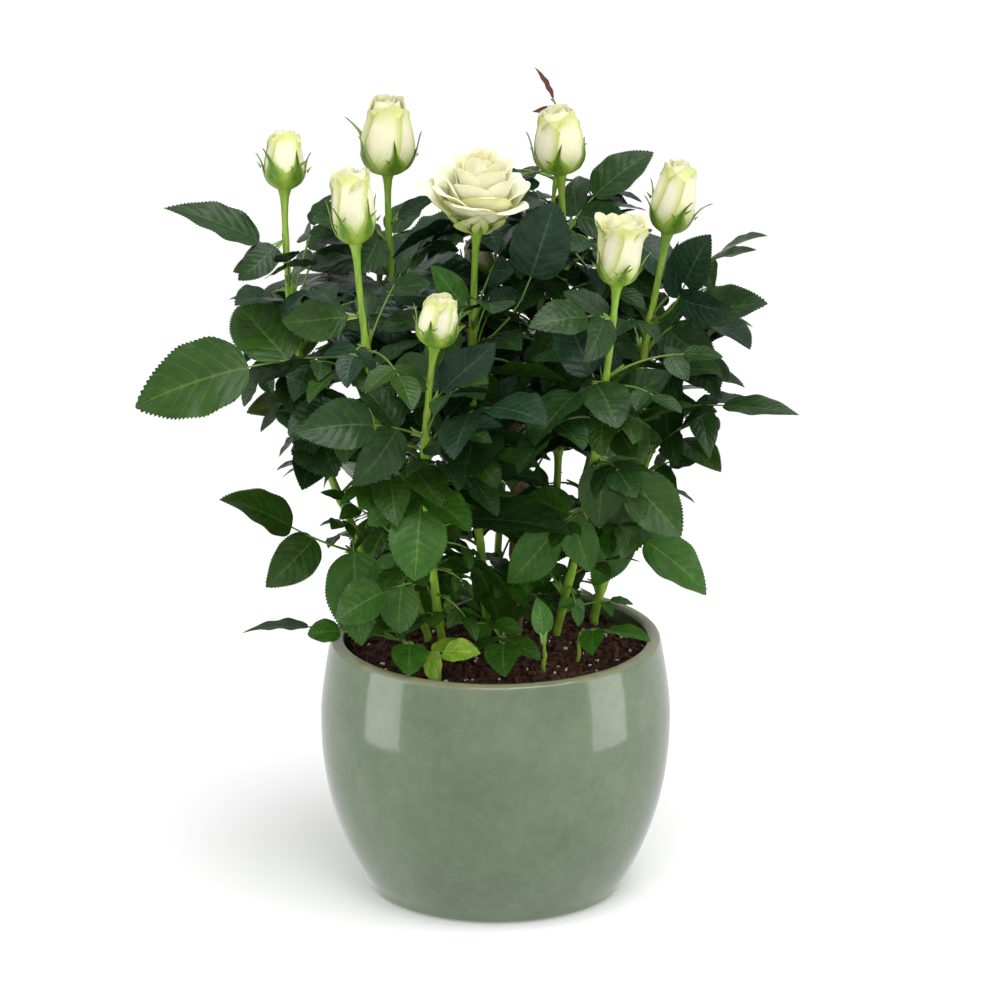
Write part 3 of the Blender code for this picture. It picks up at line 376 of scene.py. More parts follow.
def tube_shape(centres: Sequence[Vector], radii: Sequence[float], ways: Sequence[Vector],
               sides: int) -> Hull:
    """A plain closed tube.

    Args:
        centres: the middle of each ring.
        radii: the radius of each ring.
        ways: the direction that each ring is square to.
        sides: corners of a ring.

    Returns:
        Its points and faces.
    """
    points, faces = [], []
    side = Vector((1, 0, 0))
    for centre, radius, way in zip(centres, radii, ways):
        side = (side - way * side.dot(way)).normalized()
        across = way.cross(side)
        for k in range(sides):
            angle = 2 * pi * k / sides
            points.append(centre + (side * cos(angle) + across * sin(angle)) * radius)
    for i in range(len(centres) - 1):
        for k in range(sides):
            a, b = i * sides + k, i * sides + (k + 1) % sides
            faces.append((a, b, b + sides, a + sides))
    last = (len(centres) - 1) * sides
    faces.append(tuple(range(sides)))
    faces.append(tuple(range(last, last + sides)))
    return points, faces


class Stem:
    """A shoot's centre line and its radius, by the share of its length from the foot."""

    def __init__(self, shoot: Shoot) -> None:
        """Sets the curve's three points and the two radii from the shoot.

        Args:
            shoot: the stem's own row of SHOOTS.
        """
        self.shoot = shoot
        x, y = mm(*shoot.foot)
        self.foot = Vector((x, y, soil_height(x, y) + FOOT_CLEAR))
        self.knee, self.head = Vector(mm(*shoot.knee)), Vector(mm(*shoot.head))
        self.radii = mm(shoot.radius, shoot.tip_radius)

    def point(self, t: float) -> Vector:
        """The place at a share t of the way up."""
        return (self.foot * (1 - t) * (1 - 2 * t) + self.knee * 4 * t * (1 - t)
                + self.head * t * (2 * t - 1))

    def direction(self, t: float) -> Vector:
        """The way the stem runs at a share t."""
        return (self.foot * (4 * t - 3) + self.knee * (4 - 8 * t)
                + self.head * (4 * t - 1)).normalized()

    def length(self) -> float:
        """Length from foot to head."""
        steps = [self.point(i / 20) for i in range(21)]
        return sum((b - a).length for a, b in zip(steps, steps[1:]))

    def radius(self, t: float) -> float:
        """Radius at a share t."""
        foot, tip = self.radii
        return foot + (tip - foot) * t

    def room(self) -> Hull:
        """A plain tube round the stem, which leaves keep out of.

        Returns:
            Its points and faces.
        """
        count = max(2, round(self.length() / RING_SPACING)) + 1
        shares = [i / (count - 1) for i in range(count)]
        ways = [self.direction(t) if t else Vector((0, 0, 1)) for t in shares]
        radii = [self.radius(t) + LEAF_ROOM for t in shares]
        return tube_shape([self.point(t) for t in shares], radii, ways, TWIG_SIDES + 1)

    def flower_room(self) -> Hull:
        """A plain tube round the flower and its sepals.

        Returns:
            Its points and faces.
        """
        flower, along = self.shoot.flower, self.direction(1.0)
        share, swell = ROOM_SWELL
        top = BLOOM_REACH if flower.is_open else flower.radius * max(1.0, flower.mouth)
        rings = ((HIP_RINGS[0][0], self.radius(1.0)), (0.0, flower.radius * ROOM_FOOT),
                 (flower.sepal_length * share, flower.radius * swell),
                 (flower.sepal_length, flower.radius * (SEPAL_TIP + flower.sepal_flare)),
                 (flower.height, top))
        centres = [self.head + along * height for height, _ in rings]
        radii = [radius + ROOM_MARGIN for _, radius in rings]
        return tube_shape(centres, radii, [along] * len(rings), ROOM_SIDES)


@dataclass(frozen=True)
class Blade:
    """Where a leaflet lies: its base, its three directions and its length."""

    base: Vector
    along: Vector
    across: Vector
    up: Vector
    length: float


class LeafFrame:
    """Where the stalk and leaflets of a leaf on a stem lie."""

    def __init__(self, leaf: Leaf, stem: Stem) -> None:
        """Works out the stalk's directions and lengths.

        Args:
            leaf: the leaf.
            stem: what it grows on.
        """
        self.leaf = leaf
        heading, rise = radians(leaf.heading), radians(leaf.rise)
        level = Vector((cos(heading), sin(heading), 0))
        self.ahead = level * cos(rise) + Vector((0, 0, sin(rise)))
        self.up = Vector((0, 0, cos(rise))) - level * sin(rise)
        self.root = stem.point(leaf.at)
        slant = self.ahead.cross(stem.direction(leaf.at)).length
        self.bark = (stem.radius(leaf.at) + STALK_START) / max(LEAST_SLANT, slant)
        self.pairs = (leaf.leaflets - 1) // 2
        self.first = leaf.stalk * leaf.length + self.bark
        self.span = self.first
        if self.pairs:
            self.span += ((self.pairs - 1) * PAIR_GAP + END_STALK) * leaf.length

    def axes(self, s: float) -> tuple[Vector, Vector, Vector]:
        """Along, right and up at a distance s along the stalk.

        Args:
            s: the distance, from the stem's middle.

        Returns:
            The three directions.
        """
        bend, roll = radians(self.leaf.sag) * s / self.span, radians(self.leaf.roll)
        ahead = self.ahead * cos(bend) - self.up * sin(bend)
        up = self.up * cos(bend) + self.ahead * sin(bend)
        up = up * cos(roll) + ahead.cross(up) * sin(roll)
        return ahead, ahead.cross(up), up

    def point(self, s: float) -> Vector:
        """The stalk's place at a distance s along it.

        Args:
            s: the distance, from the stem's middle.

        Returns:
            The place.
        """
        place = self.root.copy()
        for i in range(STALK_STEPS):
            place += self.axes(s * (i + 0.5) / STALK_STEPS)[0] * (s / STALK_STEPS)
        return place

    def stalk_radius(self, s: float) -> float:
        """The stalk's radius at a distance s along it."""
        return STALK_RADIUS + (STALK_TIP_RADIUS - STALK_RADIUS) * s / self.span

    def pair_places(self) -> list[float]:
        """How far along the stalk each pair of leaflets stands."""
        return [self.first + i * PAIR_GAP * self.leaf.length for i in range(self.pairs)]

    def pair_sizes(self) -> tuple[float, ...]:
        """The size of each pair's leaflets, in end leaflets."""
        return SIDE_SIZES[-self.pairs:] if self.pairs else ()

    def side_blade(self, s: float, size: float, side: int) -> Blade:
        """The leaflet on one side, 1 right or -1 left, at a distance s along the stalk.

        Args:
            s: the distance.
            size: of the leaflet, in end leaflets.
            side: which side.

        Returns:
            Where it lies.
        """
        ahead, right, up = self.axes(s)
        angle, droop = radians(SIDE_ANGLE), radians(SIDE_DROOP)
        out = ahead * cos(angle) + right * side * sin(angle)
        along = out * cos(droop) - up * sin(droop)
        rise = up * cos(droop) + out * sin(droop)
        return Blade(self.point(s), along, along.cross(rise), rise, size * self.leaf.length)

    def end_blade(self) -> Blade:
        """The leaflet on the stalk's end."""
        ahead, right, up = self.axes(self.span)
        return Blade(self.point(self.span), ahead, right, up, self.leaf.length)

    def blades(self) -> Iterator[Blade]:
        """Every leaflet, the end one last.

        Yields:
            Where each one lies.
        """
        for s, size in zip(self.pair_places(), self.pair_sizes()):
            for side in (-1, 1):
                if self.leaf.lone in (0, side):
                    yield self.side_blade(s, size, side)
        yield self.end_blade()


def blade_point(leaf: Leaf, blade: Blade, u: float, v: float) -> Vector:
    """A leaflet's point: u runs from base to tip, v from -1 to 1 across half its width.

    Args:
        leaf: gives the width, fold and curl.
        blade: where the leaflet lies.
        u: the share of its length.
        v: the share of half its width.

    Returns:
        The point.
    """
    half = v * leaf.width * blade.length / 2
    lift = leaf.fold * abs(half) - leaf.curl * blade.length * u * u
    return blade.base + blade.along * (u * blade.length) + blade.across * half + blade.up * lift


def aimed(reach: Reach, stem: Stem) -> Leaf:
    """The leaf that a Reach asks for: its heading, rise and stalk are found by steps.

    Args:
        reach: what is asked for.
        stem: what it grows on.

    Returns:
        The leaf.
    """
    root, length = stem.point(reach.at), reach.length * MM
    wanted = polar(Vector(mm(*reach.tip)) - root)
    _, heading, rise = wanted
    stalk = FIRST_STALK
    for _ in range(AIM_STEPS):
        leaf = Leaf(reach.at, heading, rise, reach.sag, reach.roll, length, reach.leaflets, stalk,
                    reach.width, lone=reach.lone, tint=reach.tint)
        got = polar(blade_point(leaf, LeafFrame(leaf, stem).end_blade(), 1.0, 0.0) - root)
        stalk = max(SHORTEST_STALK, stalk + (wanted[0] - got[0]) / length)
        heading += wanted[1] - got[1]
        rise += wanted[2] - got[2]
    return leaf


def leaf_shape(frame_: LeafFrame, room: float, start: float) -> Hull:
    """The plain shape of a leaf that others keep clear of.

    Args:
        frame_: where the leaf lies.
        room: how much thicker than the leaf it is.
        start: how much of the stalk is left out.

    Returns:
        Its points and faces.
    """
    leaf, points, faces = frame_.leaf, [], []

    def ring(s: float) -> int:
        """Adds three points round the stalk.

        Args:
            s: how far along the stalk.

        Returns:
            The number of its first point.
        """
        _, right, up = frame_.axes(s)
        centre, radius = frame_.point(s), frame_.stalk_radius(s) + room
        points.extend((centre - right * radius + up * radius * 0.5,
                       centre + right * radius + up * radius * 0.5, centre - up * radius))
        return len(points) - 3

    def join(a: int, b: int, sides: Iterable[int]) -> None:
        """Adds the faces from one ring to the next.

        Args:
            a: a ring's first point.
            b: the next ring's.
            sides: which of the three sides.
        """
        for k in sides:
            n = (k + 1) % 3
            faces.append((a + k, a + n, b + n, b + k))

    def grow(blade: Blade, top: tuple[int, int], bottom: tuple[int, ...]) -> None:
        """Adds a leaflet as a flat double pyramid.

        Args:
            blade: where the leaflet lies.
            top: two points on the stalk's upper side.
            bottom: one or two under it.
        """
        ahead = [blade_point(leaf, blade, u, -v) for u, v in BLADE_OUTLINE]
        back = [blade_point(leaf, blade, u, v) for u, v in reversed(BLADE_OUTLINE)]
        first = len(points)
        points.extend([*ahead, blade_point(leaf, blade, 1.0, 0.0), *back])
        middle = blade_point(leaf, blade, BLADE_MIDDLE, 0.0)
        half = blade.up * (BLADE_THICKNESS * blade.length / 2 + room)
        points.extend((middle + half, middle - half))
        rim = list(range(first, first + 5))
        over, under = first + 5, first + 6
        for loop, hub in (([top[0], *rim, top[1]], over), ([bottom[0], *rim, bottom[-1]], under)):
            faces.extend((a, b, hub) for a, b in zip(loop, loop[1:]))
        faces.append((top[1], top[0], over))
        if len(bottom) > 1:
            faces.append((bottom[1], bottom[0], under))
        faces.extend(((top[0], bottom[0], rim[0]), (top[1], bottom[-1], rim[-1])))

    previous = ring(start)
    faces.append((previous, previous + 1, previous + 2))
    for s, size in zip(frame_.pair_places(), frame_.pair_sizes()):
        near = ring(s - ROOT_FACE)
        far = ring(s + ROOT_FACE)
        join(previous, near, (0, 1, 2))
        join(near, far, (0,))
        for side, face, top, bottom in ((-1, 2, (near, far), (near + 2, far + 2)),
                                        (1, 1, (far + 1, near + 1), (far + 2, near + 2))):
            if leaf.lone in (0, side):
                grow(frame_.side_blade(s, size, side), top, bottom)
            else:
                join(near, far, (face,))
        previous = far
    end = ring(frame_.span)
    join(previous, end, (0, 1, 2))
    grow(frame_.end_blade(), (end, end + 1), (end + 2,))
    return points, faces


def crown_radius(height: float) -> float:
    """The furthest from the middle that an ordinary leaf may reach at a height.

    Args:
        height: above the pot's underside.

    Returns:
        The distance.
    """
    heights = [(z * MM, r * MM) for z, r in CROWN]
    for (low, near), (high, far) in zip(heights, heights[1:]):
        if height <= high:
            return near + (far - near) * max(0.0, (height - low) / (high - low))
    return 0.0


class Shape:
    """A surface with its box, for a quick test of whether two of them cross."""

    def __init__(self, points: Sequence[Vector], faces: Sequence[tuple[int, ...]]) -> None:
        """Keeps the surface as a tree of its faces.

        Args:
            points: of the surface.
            faces: of the surface.
        """
        self.tree = BVHTree.FromPolygons([tuple(p) for p in points], faces)
        self.low = [min(p[i] for p in points) for i in range(3)]
        self.high = [max(p[i] for p in points) for i in range(3)]

    def meets(self, other: Shape) -> bool:
        """Whether the two surfaces cross.

        Args:
            other: the other surface.

        Returns:
            True if they do.
        """
        if any(self.low[i] > other.high[i] or other.low[i] > self.high[i] for i in range(3)):
            return False
        return bool(self.tree.overlap(other.tree))


class Obstacle:
    """What leaves must not touch. A leaf's root may cross only what its own stem carries."""

    def __init__(self, owner: str, whole: tuple, outer: tuple | None = None) -> None:
        """Keeps the whole shape, and the part of it that its own stem's leaves keep clear of.

        Args:
            owner: the stem or solid that it is part of.
            whole: points and faces.
            outer: points and faces, if other ones.
        """
        self.owner = owner
        self.whole = Shape(*whole)
        self.outer = Shape(*outer) if outer else self.whole

    def meets(self, other: Obstacle) -> bool:
        """Whether the two are in each other's way.

        Args:
            other: the other one.

        Returns:
            True if they are.
        """
        if self.owner == other.owner:
            return self.outer.meets(other.outer)
        return self.whole.meets(other.whole)


def opening_shape(x: float, height: float, radius: float) -> Hull:
    """Points and faces of an open place, from the plant's front to its back.

    Args:
        x: of its middle.
        height: of its middle.
        radius: of the opening.

    Returns:
        Its points and faces.
    """
    way = Vector((0, -1, OPENING_RISE))
    middle = Vector((x, 0, height))
    ends = [middle - way * OPENING_RUN, middle + way * OPENING_RUN]
    return tube_shape(ends, [radius, radius], [way.normalized()] * 2, OPENING_SIDES)


@dataclass(frozen=True)
class FinerLeaves:
    """A lot of finer leaves, between the solids' own: (least, most) of what varies."""

    per_stem: int = 26
    reach: Pair = (0.3, 0.97)  # share of the stem's length
    lowest: float = 232 * MM
    rise: Pair = (-10, 60)
    sag: Pair = (20, 70)
    length: Pair = (24 * MM, 38 * MM)
    stalk: Pair = (0.25, 1.1)
    width: Pair = (0.58, 0.74)
    turn: Pair = (-30, 30)
    turns: tuple[float, ...] = (0, 40, -40, 90, -90)  # tried one after another
    past: float = 0.06  # how far they go on above the other leaves, under a flower


FINER_LEAVES = (
    FinerLeaves(),
    FinerLeaves(12, (0.5, 0.95), 270 * MM, (-20, 70), (10, 60), (16 * MM, 25 * MM), (0.4, 1.6)),
    FinerLeaves(8, (0.03, 0.4), 147 * MM, (0, 60), (10, 60), (11 * MM, 22 * MM), (0.4, 1.5)),
)


class Growth:
    """All the leaves: those that the solids hold, then the finer ones between them."""

    def __init__(self, shoots: Sequence[Shoot]) -> None:
        """Sets up the stems and what leaves keep out of.

        Args:
            shoots: all the stems.
        """
        self.stems = [Stem(shoot) for shoot in shoots]
        self.placed: dict[str, list[Leaf]] = {stem.shoot.name: [] for stem in self.stems}
        self.obstacles = [self.of_node("pot"), self.of_node("potting_soil")]
        self.obstacles += [Obstacle("opening", opening_shape(*mm(*opening)))
                           for opening in OPENINGS]
        for stem in self.stems:
            name = stem.shoot.name
            self.obstacles.append(Obstacle(name, stem.room()))
            if stem.shoot.flower:
                self.obstacles.append(Obstacle(name, stem.flower_room()))

    @staticmethod
    def of_node(name: str) -> Obstacle:
        """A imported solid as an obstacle.

        Args:
            name: of the solid.

        Returns:
            The obstacle.
        """
        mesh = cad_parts[name].data
        faces = [tuple(face.vertices) for face in mesh.polygons]
        return Obstacle(name, ([vertex.co.copy() for vertex in mesh.vertices], faces))

    @staticmethod
    def ruled_leaves(shoot: Shoot, stem: Stem) -> list[Leaf]:
        """The ordinary leaves of a shoot: one every LEAF_SPACING, each turned from the last.

        Args:
            shoot: the stem's row of SHOOTS.
            stem: its line.

        Returns:
            The leaves, the lowest first.
        """
        rng = random.Random(shoot.seed)
        length = stem.length()
        start, end = shoot.bare + RULE_START, shoot.leafy_to
        least, gain, first, run = RULE_SWELL
        count = max(1, round(length * (end - start) / LEAF_SPACING))
        leaves = []
        for i in range(count):
            share = (i + 0.5) / count
            at = start + (end - start) * share
            size = RULE_LENGTH * (least + gain * sin(pi * (first + run * share)))
            leaf = Leaf(at, shoot.first_heading + TURN * i + rng.uniform(*RULE_TURN),
                        RULE_RISE_GAIN * share + rng.uniform(*RULE_RISE), rng.uniform(*RULE_SAG),
                        rng.uniform(*RULE_ROLL), size * rng.uniform(*RULE_SIZE),
                        5 if rng.random() < RULE_FIVE else 3, rng.uniform(*RULE_STALK),
                        rng.uniform(*RULE_WIDTH), rng.uniform(*RULE_CURL),
                        rng.uniform(*RULE_FOLD))
            if all(abs(at - other.at) * length > RULE_ROOM for other in shoot.trained):
                leaves.append(leaf)
        return leaves

    @staticmethod
    def tries(leaf: Leaf, turns: Sequence[float]) -> Iterator[Leaf]:
        """The leaf, then what it may become: turned, lifted, smaller and with fewer leaflets.

        Args:
            leaf: the leaf as it is meant.
            turns: the degrees to turn it by, one after another.

        Yields:
            Each leaf to try.
        """
        for leaflets in range(leaf.leaflets, 0, -2):
            for turn in turns:
                for lift in LIFTS:
                    size = 1 - abs(turn) / SHRINK
                    yield replace(leaf, heading=leaf.heading + turn, rise=leaf.rise + lift,
                                  length=leaf.length * size, leaflets=leaflets)

    def fits(self, leaf: Leaf, stem: Stem, trained: bool, lowest: float = 0.0) -> bool:
        """Whether a leaf touches nothing and keeps to the crown. If so it is kept.

        Args:
            leaf: the leaf to try.
            stem: what it grows on.
            trained: whether it may reach out of the crown.
            lowest: the height that it keeps above.

        Returns:
            True if the leaf now stands.
        """
        frame_ = LeafFrame(leaf, stem)
        outer = leaf_shape(frame_, LEAF_ROOM, frame_.bark)
        inside = all(hypot(p[0], p[1]) <= crown_radius(p[2]) for p in outer[0])
        if not trained and not inside or min(p[2] for p in outer[0]) < lowest:
            return False
        room = Obstacle(stem.shoot.name, leaf_shape(frame_, LEAF_ROOM, 0.0), outer)
        if any(room.meets(obstacle) for obstacle in self.obstacles):
            return False
        self.obstacles.append(room)
        self.placed[stem.shoot.name].append(leaf)
        return True

    def grow(self) -> None:
        """Places the solids' own leaves: trained ones first, then the ordinary ones."""
        queue = [(stem, aimed(reach, stem), True)
                 for stem in self.stems for reach in stem.shoot.trained]
        rows = [self.ruled_leaves(stem.shoot, stem) if stem.shoot.fill else []
                for stem in self.stems]
        for i in range(max(map(len, rows))):
            queue += [(stem, row[-1 - i], False) for stem, row in zip(self.stems, rows)
                      if i < len(row)]
        for stem, leaf, trained in queue:
            turns = TRAINED_TURNS if trained else ORDINARY_TURNS
            any(self.fits(tried, stem, trained) for tried in self.tries(leaf, turns))
        log.info("the solids' leaves: %d", self.count())

    def fill_in(self, finer: FinerLeaves) -> None:
        """Adds a lot of finer leaves between the others.

        Args:
            finer: the lot.
        """
        rng = random.Random(2)
        for i in range(finer.per_stem):
            for stem in self.stems:
                if not stem.shoot.fill:
                    continue
                low, high = finer.reach
                leaf = Leaf(low + (high - low) * (i + rng.random()) / finer.per_stem,
                            stem.shoot.first_heading + TURN * (i + 0.5) + rng.uniform(*finer.turn),
                            rng.uniform(*finer.rise), rng.uniform(*finer.sag),
                            rng.uniform(*RULE_ROLL), rng.uniform(*finer.length), 3,
                            rng.uniform(*finer.stalk), rng.uniform(*finer.width),
                            rng.uniform(*RULE_CURL), rng.uniform(*RULE_FOLD))
                if stem.shoot.flower and leaf.at > stem.shoot.leafy_to + finer.past:
                    continue
                any(self.fits(tried, stem, False, finer.lowest)
                    for tried in self.tries(leaf, finer.turns))
        log.info("with finer ones: %d", self.count())

    def count(self) -> int:
        """How many leaves stand."""
        return sum(map(len, self.placed.values()))


# ---- colours, nodes and meshes


def linear(code: str) -> tuple[float, float, float, float]:
    """An sRGB hex colour, such as "#8b9b81", as linear numbers with an alpha of 1.

    Args:
        code: the colour.

    Returns:
        Red, green, blue and alpha.
    """
    parts = [int(code[i:i + 2], 16) / 255 for i in (1, 3, 5)]
    red, green, blue = (c / 12.92 if c <= 0.04045 else ((c + 0.055) / 1.055) ** 2.4
                        for c in parts)
    return red, green, blue, 1.0


def add_node(tree: NodeTree, kind: str, *inputs: object, stops: Sequence[tuple[float, str]] = (),
             **named: object) -> NodeSocket | None:
    """Adds a node with its settings and links.

    Args:
        tree: the material's or world's tree.
        kind: the node's type, without its leading "ShaderNode".
        inputs: what its first inputs take: a number, a hex colour or the output that feeds it.
        stops: the places from 0 to 1 and the hex colours of a colour ramp.
        named: an input by its capital name, with _ for a space, or a setting in small letters.

    Returns:
        The node's first output.
    """
    node = tree.nodes.new("ShaderNode" + kind)
    for key in filter(str.islower, named):
        setattr(node, key, named[key])
    live = [socket for socket in node.inputs if socket.enabled]
    by_name = {socket.name.replace(" ", "_"): socket for socket in live}
    pairs = list(zip(live, inputs))
    pairs += [(by_name[key], value) for key, value in named.items() if not key.islower()]
    for socket, value in pairs:
        if isinstance(value, NodeSocket):
            tree.links.new(value, socket)
        else:
            socket.default_value = linear(value) if isinstance(value, str) else value
    for i, (place, code) in enumerate(stops):
        line = node.color_ramp.elements
        stop = line[i] if i < len(line) else line.new(place)
        stop.position, stop.color = place, linear(code)
    return next((socket for socket in node.outputs if socket.enabled), None)


def deselect() -> None:
    """Leaves nothing selected, and no object being edited."""
    if bpy.context.object and bpy.context.object.mode != "OBJECT":
        bpy.ops.object.mode_set(mode="OBJECT")
    bpy.ops.object.select_all(action="DESELECT")


def pick(obj: Object) -> None:
    """Selects one object alone and makes it the active one.

    Args:
        obj: the object.
    """
    deselect()
    obj.select_set(True)
    bpy.context.view_layer.objects.active = obj


def choose(obj: Object, kind: str, test: Callable[[Vector], bool]) -> None:
    """Selects the corners, edges or faces of an edited mesh whose middle passes a test.

    Args:
        obj: the object, in edit mode.
        kind: "VERT", "EDGE" or "FACE".
        test: says of a place whether it is meant.
    """
    bpy.ops.mesh.select_mode(type=kind)
    bpy.ops.mesh.select_all(action="DESELECT")
    mesh = bmesh.from_edit_mesh(obj.data)
    for part in {"VERT": mesh.verts, "EDGE": mesh.edges, "FACE": mesh.faces}[kind]:
        corners = [part.co] if kind == "VERT" else [vertex.co for vertex in part.verts]
        part.select = test(sum(corners, Vector()) / len(corners))
    mesh.select_flush_mode()
    bmesh.update_edit_mesh(obj.data)


def values_of(items: bpy.types.bpy_prop_collection, name: str, width: int = 1,
              kind: type = np.int32) -> np.ndarray:
    """One value of every item of a mesh.

    Args:
        items: its vertices, loops or polygons, or its map.
        name: the value's name.
        width: how many numbers it has.
        kind: of number.

    Returns:
        The numbers, a row to an item where there are several.
    """
    numbers = np.empty(len(items) * width, dtype=kind)
    items.foreach_get(name, numbers)
    return numbers if width == 1 else numbers.reshape(-1, width)


@dataclass
class Patch:
    """A mesh as plain arrays, so that it is quickly bent and copied."""

    points: np.ndarray
    loops: np.ndarray
    sizes: np.ndarray
    uv: np.ndarray
    kinds: np.ndarray

    @classmethod
    def of_object(cls, obj: Object) -> Patch:
        """Reads a modelled object, with its map and material numbers, and removes it.

        Args:
            obj: the object.

        Returns:
            The patch.
        """
        mesh = obj.data
        made = cls(values_of(mesh.vertices, "co", 3, float),
                   values_of(mesh.loops, "vertex_index"),
                   values_of(mesh.polygons, "loop_total"),
                   values_of(mesh.uv_layers.active.data, "uv", 2, float),
                   values_of(mesh.polygons, "material_index"))
        bpy.data.objects.remove(obj)
        return made

    @classmethod
    def tube(cls, centres: Sequence[Vector], radii: Sequence[float], sides: int,
             kind: int = 0, ways: Sequence[Vector] | None = None) -> Patch:
        """A closed round tube along a line.

        Args:
            centres: the middle of each ring.
            radii: the radius of each ring.
            sides: corners of a ring.
            kind: the finish's number.
            ways: the direction that each ring is square to, else that of the line.

        Returns:
            The patch. Its map runs round the tube, and along it in steps of MAP_GRAIN.
        """
        last = len(centres) - 1
        if ways is None:
            ways = [(centres[min(i + 1, last)] - centres[max(i - 1, 0)]).normalized()
                    for i in range(last + 1)]
        points, faces = tube_shape(centres, radii, ways, sides)
        run = [0.0]
        for a, b in zip(centres, centres[1:]):
            run.append(run[-1] + (b - a).length / MAP_GRAIN)
        uv = [((k + right) / sides, run[i + up]) for i in range(last) for k in range(sides)
              for right, up in ((0, 0), (1, 0), (1, 1), (0, 1))]
        uv += [(k / sides, run[end]) for end in (0, -1) for k in range(sides)]
        faces[-2] = faces[-2][::-1]
        return cls(np.array(points), np.array([n for face in faces for n in face], np.int32),
                   np.array([len(face) for face in faces], np.int32), np.array(uv),
                   np.full(len(faces), kind, np.int32))

    @classmethod
    def shell(cls, grid: np.ndarray, thickness: float, kind: int,
              inner: int | None = None) -> Patch:
        """A thin closed shell from a grid of points.

        Args:
            grid: rows of points, from the foot to the edge. The outside is on the side that
                the rows and columns turn to by the right hand rule.
            thickness: at the middle. It runs out at the edges.
            kind: the outside finish's number.
            inner: the inside finish's number, if another.

        Returns:
            The patch. Its map gives the share across, and the share from the foot up.
        """
        rows, columns = grid.shape[:2]
        normal = np.cross(np.gradient(grid, axis=1), np.gradient(grid, axis=0))
        normal /= np.maximum(np.linalg.norm(normal, axis=2, keepdims=True), 1e-9)
        rim = np.ones((rows, columns), dtype=bool)
        rim[1:-1, 1:-1] = False
        outside = np.arange(rows * columns).reshape(rows, columns)
        inside = outside.copy()
        inside[~rim] = rows * columns + np.arange((~rim).sum())
        points = np.concatenate([grid.reshape(-1, 3), (grid - normal * thickness)[~rim]])
        i, j = (part.ravel() for part in np.indices((rows - 1, columns - 1)))
        u, v, du, dv = j / (columns - 1), i / (rows - 1), 1 / (columns - 1), 1 / (rows - 1)
        out = [outside[i, j], outside[i, j + 1], outside[i + 1, j + 1], outside[i + 1, j]]
        back = [inside[i + 1, j], inside[i + 1, j + 1], inside[i, j + 1], inside[i, j]]
        front = [u, v, u + du, v, u + du, v + dv, u, v + dv]
        behind = [u, v + dv, u + du, v + dv, u + du, v, u, v]
        loops, uv = (np.concatenate([np.stack(side, axis=1) for side in sides])
                     for sides in ((out, back), (front, behind)))
        kinds = np.repeat([kind, kind if inner is None else inner], len(i))
        return cls(points, loops.ravel().astype(np.int32), np.full(len(loops), 4, np.int32),
                   uv.reshape(-1, 2), kinds.astype(np.int32))

    def placed(self, base: Vector, axes: Sequence[Vector], scale: float, kind: int) -> Patch:
        """A copy turned onto three directions.

        Args:
            base: where its origin goes.
            axes: where its three axes point.
            scale: how many times as large.
            kind: the finish's number for every face.

        Returns:
            The copy.
        """
        return replace(self, points=self.points @ (np.array(axes) * scale) + np.array(base),
                       kinds=np.full_like(self.kinds, kind))


class Piece:
    """One object, put together from patches."""

    def __init__(self, name: str, finishes: Sequence[Finish]) -> None:
        """Starts an empty piece with its finishes.

        Args:
            name: of the piece.
            finishes: in the order of its faces' numbers.
        """
        self.name = name
        self.finishes = finishes
        self.patches: list[Patch] = []

    def take(self, *patches: Patch) -> None:
        """Adds patches."""
        self.patches.extend(patches)

    def build(self, slot: str, *nodes: str, shared_map: bool = False,
              crease: float = 60.0) -> None:
        """Makes the object.

        Args:
            slot: the record's material, handed on to dress.
            nodes: the solids that it stands for.
            shared_map: whether faces of one finish lie on each other in the baking map,
                which suits what is repeated.
            crease: the least angle between faces, in degrees, that looks sharp.
        """
        points, loops, sizes, uv, kinds = (
            np.concatenate([getattr(patch, field.name) for patch in self.patches])
            for field in fields(Patch))
        firsts = np.cumsum([0] + [len(patch.points) for patch in self.patches[:-1]])
        loops += np.repeat(firsts, [len(patch.loops) for patch in self.patches]).astype(np.int32)
        mesh = bpy.data.meshes.new(self.name)
        mesh.vertices.add(len(points))
        mesh.loops.add(len(loops))
        mesh.polygons.add(len(sizes))
        starts = np.concatenate([[0], np.cumsum(sizes)[:-1]]).astype(np.int32)
        for items, name, values in ((mesh.vertices, "co", points),
                                    (mesh.loops, "vertex_index", loops),
                                    (mesh.polygons, "loop_start", starts),
                                    (mesh.polygons, "loop_total", sizes)):
            items.foreach_set(name, values.ravel())
        for finish in self.finishes:
            mesh.materials.append(finish.material())
        mesh.polygons.foreach_set("material_index", kinds)
        mesh.update(calc_edges=True)
        mesh.uv_layers.new(name="surface_map").data.foreach_set("uv", uv.ravel())
        if shared_map:
            cell = np.repeat(kinds, sizes)
            corner = np.stack([cell % MAP_CELLS, cell // MAP_CELLS], axis=1)
            spot = (corner + MAP_MARGIN + (1 - 2 * MAP_MARGIN) * np.clip(uv, 0, 1)) / MAP_CELLS
            mesh.uv_layers.new(name="OFBake").data.foreach_set("uv", spot.ravel())
        mesh.shade_smooth()
        mesh.set_sharp_from_angle(angle=radians(crease))
        mesh.validate()
        obj = bpy.data.objects.new(self.name, mesh)
        bpy.context.scene.collection.objects.link(obj)
        dress(obj, slot, *nodes)


def dress(obj: Object, slot: str, *nodes: str) -> None:
    """Puts a finished object on the body, says what it stands for and reports it.

    Args:
        obj: the object.
        slot: the record's material; not used.
        nodes: the solids that it stands for.
    """
    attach(obj, "root")
    if nodes:
        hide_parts(*nodes)
    triangles = sum(len(face.vertices) - 2 for face in obj.data.polygons)
    log.info("%s: %d triangles, stands for %d solids", obj.name, triangles, len(nodes))


# ---- finishes

Add = Callable[..., NodeSocket]


